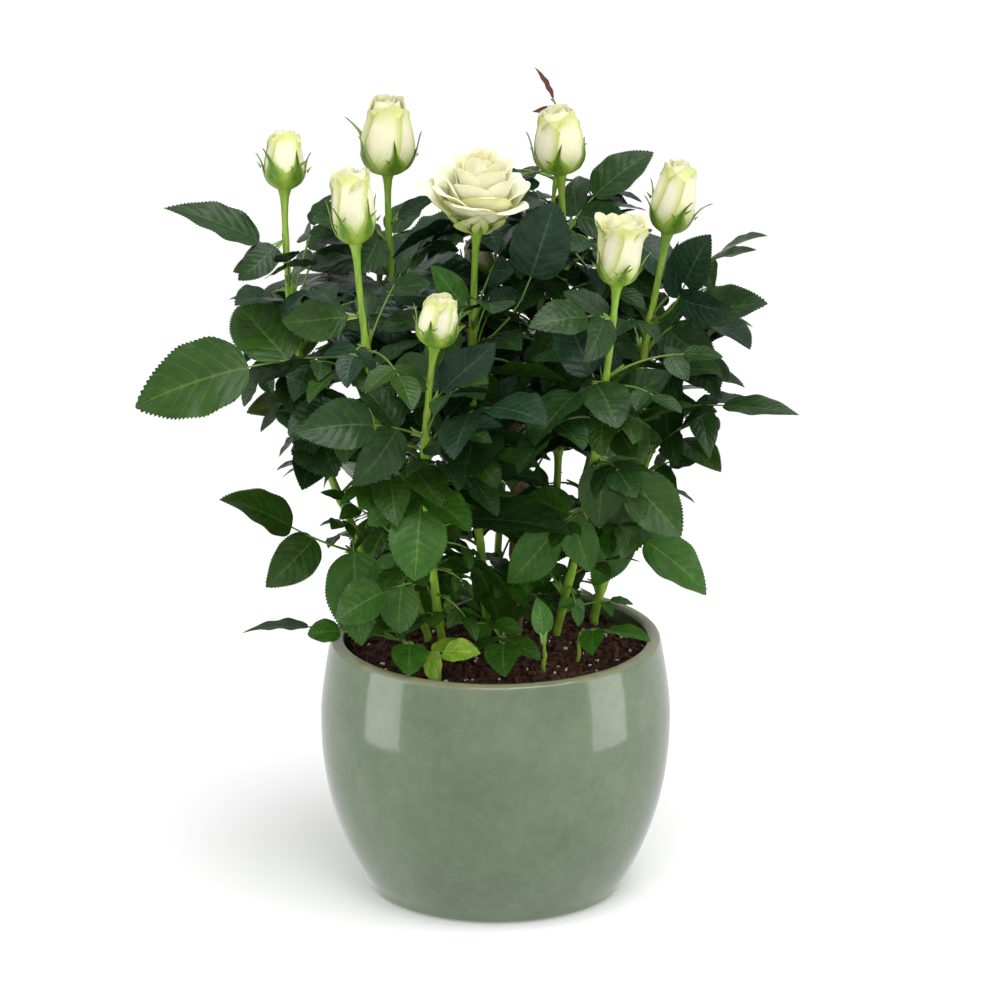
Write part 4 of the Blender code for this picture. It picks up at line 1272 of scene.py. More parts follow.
@dataclass(frozen=True)
class Finish:
    """A real finish, painted in nodes round one Principled shader."""

    name: str

    def paint(self, add: Add) -> dict[str, object]:
        """Adds the pattern's nodes and gives what the shader's inputs take."""
        raise NotImplementedError

    @cache
    def material(self) -> Material:
        """Its material, made the first time that it is asked for.

        Returns:
            The material.
        """
        made = bpy.data.materials.new(self.name)
        made.use_nodes = True
        made.node_tree.nodes.clear()
        add = partial(add_node, made.node_tree)
        add("OutputMaterial", add("BsdfPrincipled", **self.paint(add)))
        return made


def own_map(add: Add) -> tuple[NodeSocket, ...]:
    """A piece's own map: the place on it, and that place's two numbers."""
    place = add("UVMap", uv_map="surface_map")
    return place, *add("SeparateXYZ", place).node.outputs[:2]


@dataclass(frozen=True)
class LeafFinish(Finish):
    """A rose leaf's living skin: waxy, quilted between sunk veins, paler along them.

    The map's first number runs up the blade, its second across it.
    """

    colour: str
    pale: str  # its lighter patches
    vein: str
    roughness: float = 0.4
    under: bool = False

    def paint(self, add: Add) -> dict[str, object]:
        """Veins, the pillows between them, crumples, pale patches and worn wax.

        Args:
            add: adds a node to the material's tree.

        Returns:
            What the shader's inputs take, by their names.
        """
        place, up, over = own_map(add)
        half = add("Math", add("Math", over, 2.0, -1.0, operation="MULTIPLY_ADD"),
                   operation="ABSOLUTE")
        # seven pairs of veins, 6 mm apart on a large leaflet, that sweep towards the tip
        wander = add("TexNoise", place, Scale=2.4, Detail=2.0)
        swept = add("Math", add("Math", half, 1.2, operation="POWER"), -1.7,
                    add("Math", up, 7.4, 0.35, operation="MULTIPLY_ADD"),
                    operation="MULTIPLY_ADD")
        swept = add("Math", wander, 0.9, swept, operation="MULTIPLY_ADD")
        gap = add("Math", swept, 0.5, operation="PINGPONG")
        pillow = add("Math", add("Math", gap, 2.0, operation="MULTIPLY"), 0.5,
                     operation="POWER")
        midrib = add("Math", add("Math", half, 5.0, operation="MULTIPLY"), 1.0,
                     operation="MINIMUM")
        rise = add("Math", pillow, add("Math", midrib, 0.6, operation="POWER"),
                   operation="MULTIPLY")
        # crumpling between the veins, 4 mm across
        crumple = add("TexNoise", place, Scale=11.0, Detail=3.0)
        height = add("Math", crumple, 1.6, rise, operation="MULTIPLY_ADD")
        cloud = add("TexNoise", place, Scale=3.2, Detail=4.0, Roughness=0.6)
        shade = add("ValToRGB", cloud, stops=((0.36, self.colour), (0.68, self.pale)))
        near_vein = add("Math", gap, midrib, operation="MULTIPLY")
        for number, wide, narrow, strong in (
                (near_vein, 0.05, 0.0, 0.4 if self.under else 0.3),
                (half, 0.05, 0.015, 0.8 if self.under else 0.42)):
            line = add("MapRange", number, wide, narrow, To_Max=strong)
            shade = add("Mix", line, shade, self.vein, data_type="RGBA")
        # the wax is worn in patches
        worn = add("MapRange", wander, 0.35, 0.65, self.roughness - 0.08, self.roughness + 0.1)
        bump = add("Bump", 0.5 if self.under else 0.36, 0.48 * MM, Height=height,
                   invert=self.under)
        return {"Base_Color": shade, "Roughness": worn, "Normal": bump, "IOR": 1.45,
                "Specular_IOR_Level": 0.3}


@dataclass(frozen=True)
class StalkFinish(Finish):
    """Young green skin on stalks and canes: smooth, a little waxy, in faint long streaks.

    The map runs round the stem and along it in 10 mm steps.
    """

    colour: str
    dark: str
    blush: str  # in random patches
    streaks: float = 8.0  # round the stem

    def paint(self, add: Add) -> dict[str, object]:
        """Long streaks, with a blush in patches.

        Args:
            add: adds a node to the material's tree.

        Returns:
            What the shader's inputs take, by their names.
        """
        place, *_ = own_map(add)
        streak = add("TexNoise", add("Mapping", place, Scale=(self.streaks, 0.9, 1.0)),
                     Scale=1.0, Detail=3.0)
        shade = add("ValToRGB", streak, stops=((0.35, self.dark), (0.62, self.colour)))
        patchy = add("TexNoise", place, Scale=0.8, Detail=2.0)
        warm = add("MapRange", patchy, 0.56, 0.74, To_Max=0.6)
        return {"Base_Color": add("Mix", warm, shade, self.blush, data_type="RGBA"),
                "Normal": add("Bump", 0.25, 0.3 * MM, Height=streak),
                "Roughness": 0.45, "IOR": 1.45}


@dataclass(frozen=True)
class PetalFinish(Finish):
    """A petal's or sepal's skin: it changes from its foot to its edge, and at its sides.

    The map runs across the petal and from its foot to its edge.
    """

    # on the petals, the foot's darker lime is partly their own colour and partly painted shade
    # deep between them
    foot: str
    body: str
    edge: str
    side: str
    reach: Pair = (0.34, 0.74)  # where the body's colour starts and ends
    rim: float = 0.75  # how strong the sides' colour is
    rim_from: float = 0.74  # share of half the width where it starts
    roughness: float = 0.62
    glow: float = 0.3  # how much light passes through

    def paint(self, add: Add) -> dict[str, object]:
        """Fine veins that fan up the petal, and colours that change along and across it.

        Args:
            add: adds a node to the material's tree.

        Returns:
            What the shader's inputs take, by their names.
        """
        place, over, up = own_map(add)
        # the veins are 0.8 mm apart
        veins = add("TexNoise", add("Mapping", place, Scale=(26.0, 1.4, 1.0)), Scale=1.0,
                    Detail=2.0)
        cloud = add("TexNoise", place, Scale=2.6, Detail=3.0)
        for pattern, share in ((cloud, 0.5), (veins, 0.16)):
            up = add("Math", pattern, share, add("Math", up, -share / 2, operation="ADD"),
                     operation="MULTIPLY_ADD")
        # from the foot's colour up through the body's to the edge's; on the petals the lime foot
        # is partly painted shade between petals
        low, high = self.reach
        shade = add("ValToRGB", up, stops=((0.02, self.foot), (low, self.body),
                                           (high, self.body), (0.98, self.edge)))
        off = add("Math", add("Math", over, 2.0, -1.0, operation="MULTIPLY_ADD"),
                  operation="ABSOLUTE")
        rim = add("MapRange", off, self.rim_from, 0.98, To_Max=self.rim)
        return {"Base_Color": add("Mix", rim, shade, self.side, data_type="RGBA"),
                "Normal": add("Bump", 0.3, 0.4 * MM, Height=veins),
                "Roughness": self.roughness, "IOR": 1.4, "Subsurface_Weight": self.glow,
                "Subsurface_Radius": (1.0, 1.0, 0.6), "Subsurface_Scale": 1.5 * MM}


@dataclass(frozen=True)
class BarkFinish(Finish):
    """An old cane's dry bark: grey-brown, cracked along its length, dull.

    The map runs round the stem and along it in 10 mm steps.
    """

    light: str
    dark: str

    def paint(self, add: Add) -> dict[str, object]:
        """Long cracks.

        Args:
            add: adds a node to the material's tree.

        Returns:
            What the shader's inputs take, by their names.
        """
        place, *_ = own_map(add)
        crack = add("TexNoise", add("Mapping", place, Scale=(9.0, 1.2, 1.0)), Scale=1.6,
                    Detail=6.0, Roughness=0.7)
        return {"Base_Color": add("ValToRGB", crack,
                                  stops=((0.36, self.dark), (0.62, self.light))),
                "Normal": add("Bump", 0.8, 0.8 * MM, Height=crack), "Roughness": 0.85}


@dataclass(frozen=True)
class GlazeFinish(Finish):
    """Celadon stoneware glaze: deep and glassy, mottled where it ran and pooled."""

    thin: str
    middle: str
    pooled: str
    lip: str

    def paint(self, add: Add) -> dict[str, object]:
        """Clouds with flecks in them, a bare lip and shallow ripples.

        Args:
            add: adds a node to the material's tree.

        Returns:
            What the shader's inputs take, by their names.
        """
        spot = add("TexCoord").node.outputs["Object"]
        # clouds 40 mm across, with 6 mm flecks in them
        cloud = add("TexNoise", spot, Scale=26.0, Detail=5.0, Roughness=0.62)
        fleck = add("TexNoise", spot, Scale=170.0, Detail=3.0, Roughness=0.6)
        both = add("Math", fleck, 0.35, add("Math", cloud, 0.65, operation="MULTIPLY"),
                   operation="MULTIPLY_ADD")
        shade = add("ValToRGB", both, stops=((0.36, self.pooled), (0.5, self.middle),
                                             (0.64, self.thin)))
        # the glaze has run off the lip, down to a line that wanders by 4 mm
        run = add("Math", cloud, 4 * MM, add("SeparateXYZ", spot).node.outputs["Z"],
                  operation="MULTIPLY_ADD")
        bare = add("MapRange", run, POT_HEIGHT - 0.5 * MM, POT_HEIGHT + 3.5 * MM, To_Max=0.8)
        # ripples of the glaze's surface, 12 mm apart and very shallow
        ripple = add("TexNoise", spot, Scale=80.0, Detail=2.0)
        bump = add("Bump", 0.12, 1.0 * MM, Height=ripple)
        return {"Base_Color": add("Mix", bare, shade, self.lip, data_type="RGBA"),
                "Normal": bump, "Coat_Normal": bump, "Roughness": 0.16, "IOR": 1.5,
                "Coat_Weight": 0.35, "Coat_Roughness": 0.05}


@dataclass(frozen=True)
class EarthFinish(Finish):
    """Moist potting mix: dark brown fibre and bark in grains of a few millimetres."""

    dark: str
    light: str

    def paint(self, add: Add) -> dict[str, object]:
        """Grains of 3 mm, each in a tone of its own, in damper and drier patches.

        Args:
            add: adds a node to the material's tree.

        Returns:
            What the shader's inputs take, by their names.
        """
        spot = add("TexCoord").node.outputs["Object"]
        grain = add("TexVoronoi", spot, Scale=320.0).node.outputs["Color"]
        cloud = add("TexNoise", spot, Scale=120.0, Detail=5.0)
        both = add("Math", add("SeparateXYZ", grain), 0.5,
                   add("Math", cloud, 0.5, operation="MULTIPLY"), operation="MULTIPLY_ADD")
        return {"Base_Color": add("ValToRGB", both,
                                  stops=((0.3, self.dark), (0.75, self.light))),
                "Normal": add("Bump", 0.9, 1.8 * MM, Height=both), "Roughness": 0.9}


@dataclass(frozen=True)
class GrainFinish(Finish):
    """Expanded perlite: light, chalky grains with darker pits."""

    pit: str
    colour: str

    def paint(self, add: Add) -> dict[str, object]:
        """Pits of 1 mm.

        Args:
            add: adds a node to the material's tree.

        Returns:
            What the shader's inputs take, by their names.
        """
        pits = add("TexNoise", add("TexCoord").node.outputs["Object"], Scale=900.0, Detail=2.0)
        return {"Base_Color": add("ValToRGB", pits,
                                  stops=((0.3, self.pit), (0.6, self.colour))),
                "Roughness": 0.95}


@dataclass(frozen=True)
class PaperFinish(Finish):
    """Matt paper of a studio table, as pale as an overexposed sweep."""

    white: float
    glow: float

    def paint(self, add: Add) -> dict[str, object]:
        """Plain, with a faint light of its own.

        Args:
            add: adds a node to the material's tree.

        Returns:
            What the shader's inputs take, by their names.
        """
        return {"Base_Color": (self.white,) * 3 + (1,), "Roughness": 0.9,
                "Specular_IOR_Level": 0.2, "Emission_Color": (1, 1, 1, 1),
                "Emission_Strength": self.glow}


GLAZE = GlazeFinish("celadon glazed stoneware", "#6b7b5f", "#637358", "#5c6c52", "#a89d78")
SOIL_FINISHES = (EarthFinish("moist potting mix", "#24120c", "#5c3a26"),
                 GrainFinish("white perlite", "#b9b0a2", "#e6e1d6"))
TABLE_PAPER = PaperFinish("matt white paper", 0.93, 0.07)
CANE_FINISHES = (  # in the order of Bark
    StalkFinish("green rose cane", "#8fb53c", "#6f9a2e", "#a5a04c", streaks=6.0),
    BarkFinish("old brown rose bark", "#8a6f4f", "#4a3524"),
    StalkFinish("young prickle", "#b98a5c", "#9a6a44", "#c8a070"),
    StalkFinish("sleeping bud", "#8a4a38", "#6f8a3a", "#a05545"),
)
LEAF_FINISHES = (  # upper sides in the order of Tint, two backs, two stalks and the stipules
    LeafFinish("deep blue-green rose leaf", "#162c1c", "#203c25", "#416348", 0.28),
    LeafFinish("dark green rose leaf", "#1d3416", "#28471d", "#4a6b38", 0.29),
    LeafFinish("green rose leaf", "#244012", "#305217", "#537832", 0.31),
    LeafFinish("fresh green rose leaf", "#294f12", "#37641b", "#5e8838", 0.33),
    LeafFinish("bright green young rose leaf", "#315f1a", "#427423", "#76a348", 0.3),
    LeafFinish("yellow-green ageing rose leaf", "#4f8320", "#93a72c", "#aebc58"),
    LeafFinish("olive green rose leaf", "#38461a", "#4c5b20", "#6c783a", 0.38),
    LeafFinish("red-brown unfolding rose leaf", "#5c2a26", "#4a3826", "#7a4c3e"),
    LeafFinish("matt grey-green back of a rose leaf", "#465f42", "#526850", "#80947a", 0.6,
               under=True),
    LeafFinish("matt pale green back of a young rose leaf", "#6c8a4c", "#7d9a5a", "#a8bd80",
               0.6, under=True),
    StalkFinish("green leaf stalk", "#6f9440", "#56792f", "#8a7a45"),
    StalkFinish("reddish leaf stalk", "#63602f", "#4c5528", "#7a4a30"),
    StalkFinish("thin green stipule", "#7fa04c", "#688a3c", "#94a55c", streaks=2.0),
)
BLOSSOM_FINISHES = (  # in the order of Skin
    # the petals' lime feet are partly their own colour and partly painted shade, darker and
    # greener deep between the petals; the inner one's runs two thirds of the way up
    PetalFinish("ivory rose petal edged with lime", "#a9c356", "#f2edc6", "#d3dc8a",
                "#bccf62", reach=(0.5, 0.76), rim=0.9),
    PetalFinish("cream inner rose petal", "#bccd6a", "#f6f4dc", "#f0eec4", "#c6d570",
                reach=(0.66, 0.84), rim=0.85),
    PetalFinish("green sepal edged with lime", "#93b53a", "#537a22", "#2c4718", "#a9c252",
                reach=(0.3, 0.46), rim=0.9, rim_from=0.3, roughness=0.42, glow=0.0),
    PetalFinish("downy pale inside of a sepal", "#8fa860", "#74904c", "#4c6a34", "#a0b470",
                roughness=0.8, glow=0.0),
    PetalFinish("deep cream rose heart", "#cfd28a", "#f1e8be", "#f0e2b4", "#ece3b0"),
)


# ---- leaflets


@dataclass(frozen=True)
class Outline:
    """The shape of a leaflet's edge: its half width runs as u**foot * (1 - u)**tip."""

    foot: float
    tip: float

    def half_width(self, share: np.ndarray) -> np.ndarray:
        """Half the width at shares of the length, the widest as 1.

        Args:
            share: the shares.

        Returns:
            The half widths.
        """
        peak = self.foot / (self.foot + self.tip)
        most = peak**self.foot * (1 - peak) ** self.tip
        inner = np.clip(share, 0, 1)
        return inner**self.foot * (1 - inner) ** self.tip / most


class Form(Enum):
    """The outlines that leaflets come in."""

    OVATE = Outline(0.5, 0.9)
    BROAD = Outline(0.45, 0.7)
    LANCE = Outline(0.6, 1.15)


@dataclass
class Leaflet:
    """A serrated leaflet in unit length, from its foot along +X, its upper side towards +Z."""

    form: Form
    rows: int = 11
    columns: int = 2  # in half the blade's upper side
    teeth: int = 2  # to a row, on each edge
    tooth_depth: float = 0.05  # share of half the width
    tooth_lean: float = 0.45  # share of a tooth
    thickness: float = 0.009

    def sheet(self, columns: int, top: bool) -> Object:
        """One side of the blade as a flat sheet, still one unit square.

        Args:
            columns: of faces across half the blade.
            top: whether it is the upper side.

        Returns:
            The sheet. Its edges are cut for the teeth.
        """
        deselect()
        bpy.ops.mesh.primitive_grid_add(x_subdivisions=self.rows, y_subdivisions=2 * columns,
                                        size=2, location=(0, 0, 0))
        obj = bpy.context.object
        bpy.ops.object.mode_set(mode="EDIT")
        choose(obj, "EDGE", lambda middle: abs(middle.y) > AT_EDGE)
        bpy.ops.mesh.subdivide(number_cuts=2 * self.teeth - 1, ngon=True)
        if not top:
            bpy.ops.mesh.select_all(action="SELECT")
            bpy.ops.mesh.flip_normals()
        bpy.ops.object.mode_set(mode="OBJECT")
        obj.data.materials.clear()
        return obj

    def cut(self, obj: Object, top: bool) -> None:
        """Moves a sheet's corners to the leaflet's outline, teeth and thickness.

        Args:
            obj: the flat sheet.
            top: whether it is the upper side.
        """
        mesh = obj.data
        places = values_of(mesh.vertices, "co", 3, float)
        share, over = (places[:, 0] + 1) / 2, places[:, 1]
        step = 1 / (self.rows * self.teeth * 2)
        number = np.rint(share / step).astype(int)
        tip = (np.abs(over) > AT_EDGE) & (number % 2 == 1)
        fade = np.clip(share / 0.1, 0, 1) * np.clip((1 - share) / 0.06, 0, 1)
        width = self.form.value.half_width(share)
        reach = over * width + np.sign(over) * tip * self.tooth_depth * fade
        swept = 0.10 * np.abs(over) * width * np.sin(pi * share)
        along = share + tip * fade * self.tooth_lean * step * 2 + swept * 0.5
        inner = (1 - np.abs(over)) * (np.clip(share * 8, 0, 1) * np.clip((1 - share) * 8, 0, 1))
        lift = self.thickness * np.minimum(1.0, inner * 2) * (0.5 if top else -0.5)
        if not top:
            lift -= 0.008 * (np.abs(over) < 0.01) * np.clip((1 - share) * 3, 0, 1) * (share > 0)
        mesh.vertices.foreach_set("co", np.stack([along, reach, lift], axis=1).ravel())
        layer = mesh.uv_layers.active or mesh.uv_layers.new(name="surface_map")
        loops = values_of(mesh.loops, "vertex_index")
        layer.data.foreach_set("uv", np.stack([share, 0.5 + over / 2], axis=1)[loops].ravel())
        kinds = np.full(len(mesh.polygons), 0 if top else 1, dtype=np.int32)
        mesh.polygons.foreach_set("material_index", kinds)

    def patch(self) -> Patch:
        """Models the leaflet: two sheets, joined along their toothed edges.

        Returns:
            The leaflet.
        """
        upper, lower = self.sheet(self.columns, True), self.sheet(1, False)
        for obj in (upper, lower):
            for _ in range(2):
                obj.data.materials.append(None)
        self.cut(upper, True)
        self.cut(lower, False)
        pick(upper)
        lower.select_set(True)
        bpy.ops.object.join()
        bpy.ops.object.mode_set(mode="EDIT")
        bpy.ops.mesh.select_all(action="SELECT")
        bpy.ops.mesh.remove_doubles(threshold=0.0004)
        bpy.ops.object.mode_set(mode="OBJECT")
        return Patch.of_object(upper)


@dataclass(frozen=True)
class Habit:
    """How far leaflets wave, twist and bend sideways: shares of the length, and degrees."""

    wave: float = 0.018
    waves: Pair = (2.2, 3.6)
    twist: float = 14.0
    bend: float = 0.06
    hook: float = 0.08  # how far the tip turns down


class LeafletPatterns:
    """Every leaflet pattern, modelled once, and their bent copies."""

    def __init__(self, habit: Habit) -> None:
        """Models the patterns.

        Args:
            habit: how the copies are bent.
        """
        self.habit = habit
        self.fine = {form: Leaflet(form, rows=14, columns=3).patch() for form in Form}
        self.small = {form: Leaflet(form).patch() for form in Form}

    def copy(self, leaf: Leaf, blade: Blade, rng: random.Random, top: int, back: int) -> Patch:
        """A leaflet bent and set in its place.

        Args:
            leaf: the leaf that it is part of.
            blade: where it lies.
            rng: what its own waves are drawn from.
            top: number of its upper side's finish.
            back: number of its back's finish.

        Returns:
            The leaflet.
        """
        form = Form.OVATE
        if leaf.width > 0.72:
            form = Form.BROAD
        elif leaf.width < 0.55:
            form = Form.LANCE
        large = blade.length > LARGE_LEAFLET
        pattern = (self.fine if large else self.small)[form]
        habit = self.habit
        u, v, z = pattern.points.T
        half = v * leaf.width / 2
        edge = np.abs(v)
        lift = leaf.fold * np.abs(half) - leaf.curl * u * u + z
        lift -= habit.hook * np.clip(u - 0.7, 0, 1) ** 2 * 3
        wave = habit.wave * rng.uniform(0.5, 1.3)
        beat = 2 * pi * rng.uniform(*habit.waves)
        for side in (-1, 1):
            start = rng.uniform(0, 2 * pi)
            there = (v * side > 0) * edge**2
            lift += wave * np.sin(beat * u + start) * there * np.clip(u * 5, 0, 1)
        turn = radians(rng.gauss(0, habit.twist)) * u
        across, up = (half * np.cos(turn) - lift * np.sin(turn),
                      half * np.sin(turn) + lift * np.cos(turn))
        across += rng.gauss(0, habit.bend) * u * u
        kinds = np.where(pattern.kinds == 0, top, back).astype(np.int32)
        axes = np.array([blade.along, -blade.across, blade.up]) * blade.length
        points = np.stack([u, across, up], axis=1) @ axes + np.array(blade.base)
        return replace(pattern, points=points, kinds=kinds)


# ---- pot and soil


@dataclass
class Pot:
    """The glazed bowl, turned on a wheel."""

    sides: int = 128
    rings: int = 34
    lip: float = 3.2 * MM  # rounding of the rim
    foot_ring: float = 6 * MM  # width of the ring it stands on
    foot_slope: float = 2 * MM  # of the ring's inside
    foot_chamfer: float = 0.8 * MM
    foot_depth: float = 2.5 * MM
    inside_depth: float = 40 * MM  # of the wall below the soil's edge
    wobble: float = 0.25 * MM
    wobble_grain: float = 14.0  # to a metre
    edge_steps: int = 4
    lip_steps: int = 12
    inside_steps: int = 8

    def profile(self) -> list[Pair]:
        """Radius and height of each ring, from the middle of the underside to the inside.

        Returns:
            The pairs of radius and height.
        """
        ring = BASE_RADIUS - BASE_EDGE - self.foot_ring
        line = [(ring - self.foot_slope, self.foot_depth), (ring, self.foot_chamfer),
                (ring + self.foot_chamfer, 0.0), (BASE_RADIUS - BASE_EDGE, 0.0)]
        for i in range(1, self.edge_steps + 1):
            angle = pi / 2 * i / self.edge_steps
            line.append((pot_radius(BASE_EDGE) - BASE_EDGE * (1 - sin(angle)),
                         BASE_EDGE * (1 - cos(angle))))
        top = POT_HEIGHT - self.lip
        for i in range(1, self.rings + 1):
            height = BASE_EDGE + (top - BASE_EDGE) * i / self.rings
            line.append((pot_radius(height), height))
        middle = pot_radius(POT_HEIGHT) - WALL / 2
        outer = pot_radius(top) - middle
        for i in range(1, self.lip_steps):
            angle = pi * i / self.lip_steps
            reach = outer if angle < pi / 2 else WALL / 2
            line.append((middle + reach * cos(angle), top + self.lip * sin(angle)))
        for i in range(self.inside_steps + 1):
            height = top - (top - SOIL_EDGE_HEIGHT + self.inside_depth) * i / self.inside_steps
            line.append((pot_radius(height) - WALL, height))
        return line

    def build(self) -> None:
        """Throws the pot: a ring is drawn up and widened from ring to ring."""
        line = self.profile()
        deselect()
        radius, height = line[0]
        bpy.ops.mesh.primitive_circle_add(vertices=self.sides, radius=radius,
                                          fill_type="NGON", location=(0, 0, 0))
        obj = bpy.context.object
        obj.name = obj.data.name = "celadon_pot"
        bpy.ops.object.mode_set(mode="EDIT")
        bpy.ops.transform.translate(value=(0, 0, height))
        bpy.ops.mesh.flip_normals()
        bpy.ops.mesh.duplicate()
        bpy.ops.mesh.delete(type="ONLY_FACE")
        choose(obj, "EDGE", lambda middle: True)
        for (near, low), (far, high) in zip(line, line[1:]):
            bpy.ops.mesh.extrude_edges_move(
                TRANSFORM_OT_translate={"value": (0, 0, high - low)})
            bpy.ops.transform.resize(value=(far / near, far / near, 1),
                                     center_override=(0, 0, high))
        bpy.ops.mesh.edge_face_add()
        bpy.ops.mesh.select_all(action="SELECT")
        bpy.ops.mesh.remove_doubles(threshold=1e-6)
        bpy.ops.mesh.normals_make_consistent(inside=False)
        bpy.ops.object.mode_set(mode="OBJECT")
        for vertex in obj.data.vertices:
            place = vertex.co
            if place.z > BASE_EDGE:
                sway = noise.noise(place * self.wobble_grain) * self.wobble
                place.xy *= 1 + sway / max(place.xy.length, 1 * MM)
        pick(obj)
        bpy.ops.object.shade_smooth_by_angle(angle=radians(40))
        obj.data.materials.clear()
        obj.data.materials.append(GLAZE.material())
        dress(obj, "pot glaze", "pot")


@dataclass
class Soil:
    """The potting mix: a lumpy mound with loose grains and perlite."""

    sides: int = 216
    step: float = 1.8 * MM
    middle_rings: int = 3  # left out, where they would come too close
    lump: float = 2.6 * MM
    settled: float = 0.6  # share of the lumps' height that is left
    below: float = 0.6 * MM  # the smooth mound
    crumb: float = 0.7 * MM
    grains: int = 1500
    perlite: int = 190
    grain_size: Pair = (0.8 * MM, 2.9 * MM)
    perlite_size: Pair = (0.7 * MM, 1.8 * MM)
    stretched: float = 0.25  # share of the grains that are long splinters
    sunk: float = 9 * MM

    def lumpy(self, x: float, y: float) -> float:
        """Height of the lumpy surface over a point.

        Args:
            x: of the point.
            y: of the point.

        Returns:
            The height.
        """
        spot = Vector((x, y, 0))
        lump = noise.fractal(spot * 110, 0.8, 2.1, 4) * self.lump
        crumb = noise.noise(spot * 420) * self.crumb
        return soil_height(x, y) - self.below + lump * self.settled + crumb

    def build(self) -> None:
        """Makes the mound, then its grains."""
        edge = pot_radius(SOIL_EDGE_HEIGHT) - WALL + 0.2 * MM
        rings = round(edge / self.step)
        deselect()
        bpy.ops.mesh.primitive_circle_add(vertices=self.sides, radius=edge, fill_type="NGON",
                                          location=(0, 0, 0))
        obj = bpy.context.object
        obj.name = obj.data.name = "potting_mix"
        bpy.ops.object.mode_set(mode="EDIT")
        for _ in range(rings - self.middle_rings):
            bpy.ops.mesh.inset(thickness=self.step)
        bpy.ops.mesh.poke()
        bpy.ops.object.mode_set(mode="OBJECT")
        for vertex in obj.data.vertices:
            vertex.co.z = self.lumpy(vertex.co.x, vertex.co.y)
        bpy.ops.object.mode_set(mode="EDIT")
        bpy.ops.mesh.select_all(action="SELECT")
        bpy.ops.mesh.extrude_region_move(TRANSFORM_OT_translate={"value": (0, 0, -self.sunk)})
        bpy.ops.transform.resize(value=(1, 1, 0), center_override=(
            0, 0, SOIL_EDGE_HEIGHT - self.sunk))
        bpy.ops.mesh.select_all(action="SELECT")
        bpy.ops.mesh.normals_make_consistent(inside=False)
        bpy.ops.object.mode_set(mode="OBJECT")
        pick(obj)
        bpy.ops.object.shade_smooth_by_angle(angle=radians(70))
        obj.data.materials.clear()
        obj.data.materials.append(SOIL_FINISHES[0].material())
        dress(obj, "potting soil", "potting_soil")
        self.strew(edge - 2 * MM)

    def strew(self, most: float) -> None:
        """Strews loose grains on the mound.

        Args:
            most: the furthest that they lie from the middle.
        """
        rng = random.Random(5)
        chunk = self.pattern()
        grains = Piece("soil_grains", SOIL_FINISHES)
        for i in range(self.grains + self.perlite):
            white = i >= self.grains
            reach = most * sqrt(rng.random())
            angle = rng.uniform(0, 2 * pi)
            x, y = reach * cos(angle), reach * sin(angle)
            size = rng.uniform(*(self.perlite_size if white else self.grain_size))
            turn = Matrix.Rotation(rng.uniform(0, 6.28), 3, Vector(
                (rng.gauss(0, 1), rng.gauss(0, 1), rng.gauss(0, 1))).normalized())
            stretch = Vector((1, rng.uniform(0.5, 1), rng.uniform(0.4, 0.8)))
            if not white and rng.random() < self.stretched:
                stretch.x = rng.uniform(1.6, 2.8)
            base = Vector((x, y, self.lumpy(x, y) + size * 0.25))
            axes = [axis * share for axis, share in zip(turn.col, stretch)]
            grains.take(chunk.placed(base, axes, size, int(white)))
        grains.build("potting soil", crease=30)

    @staticmethod
    def pattern() -> Patch:
        """One rough grain of twenty faces, a unit in radius.

        Returns:
            The grain.
        """
        deselect()
        bpy.ops.mesh.primitive_ico_sphere_add(subdivisions=1, radius=1, location=(0, 0, 0))
        obj = bpy.context.object
        for vertex in obj.data.vertices:
            vertex.co *= 1 + 0.35 * noise.noise(vertex.co * 1.7)
        return Patch.of_object(obj)


# ---- canes and leaves


class Bark(Enum):
    """The finishes of the canes' parts, in order."""

    GREEN = 0
    OLD = 1
    PRICKLE = 2
    BUD = 3


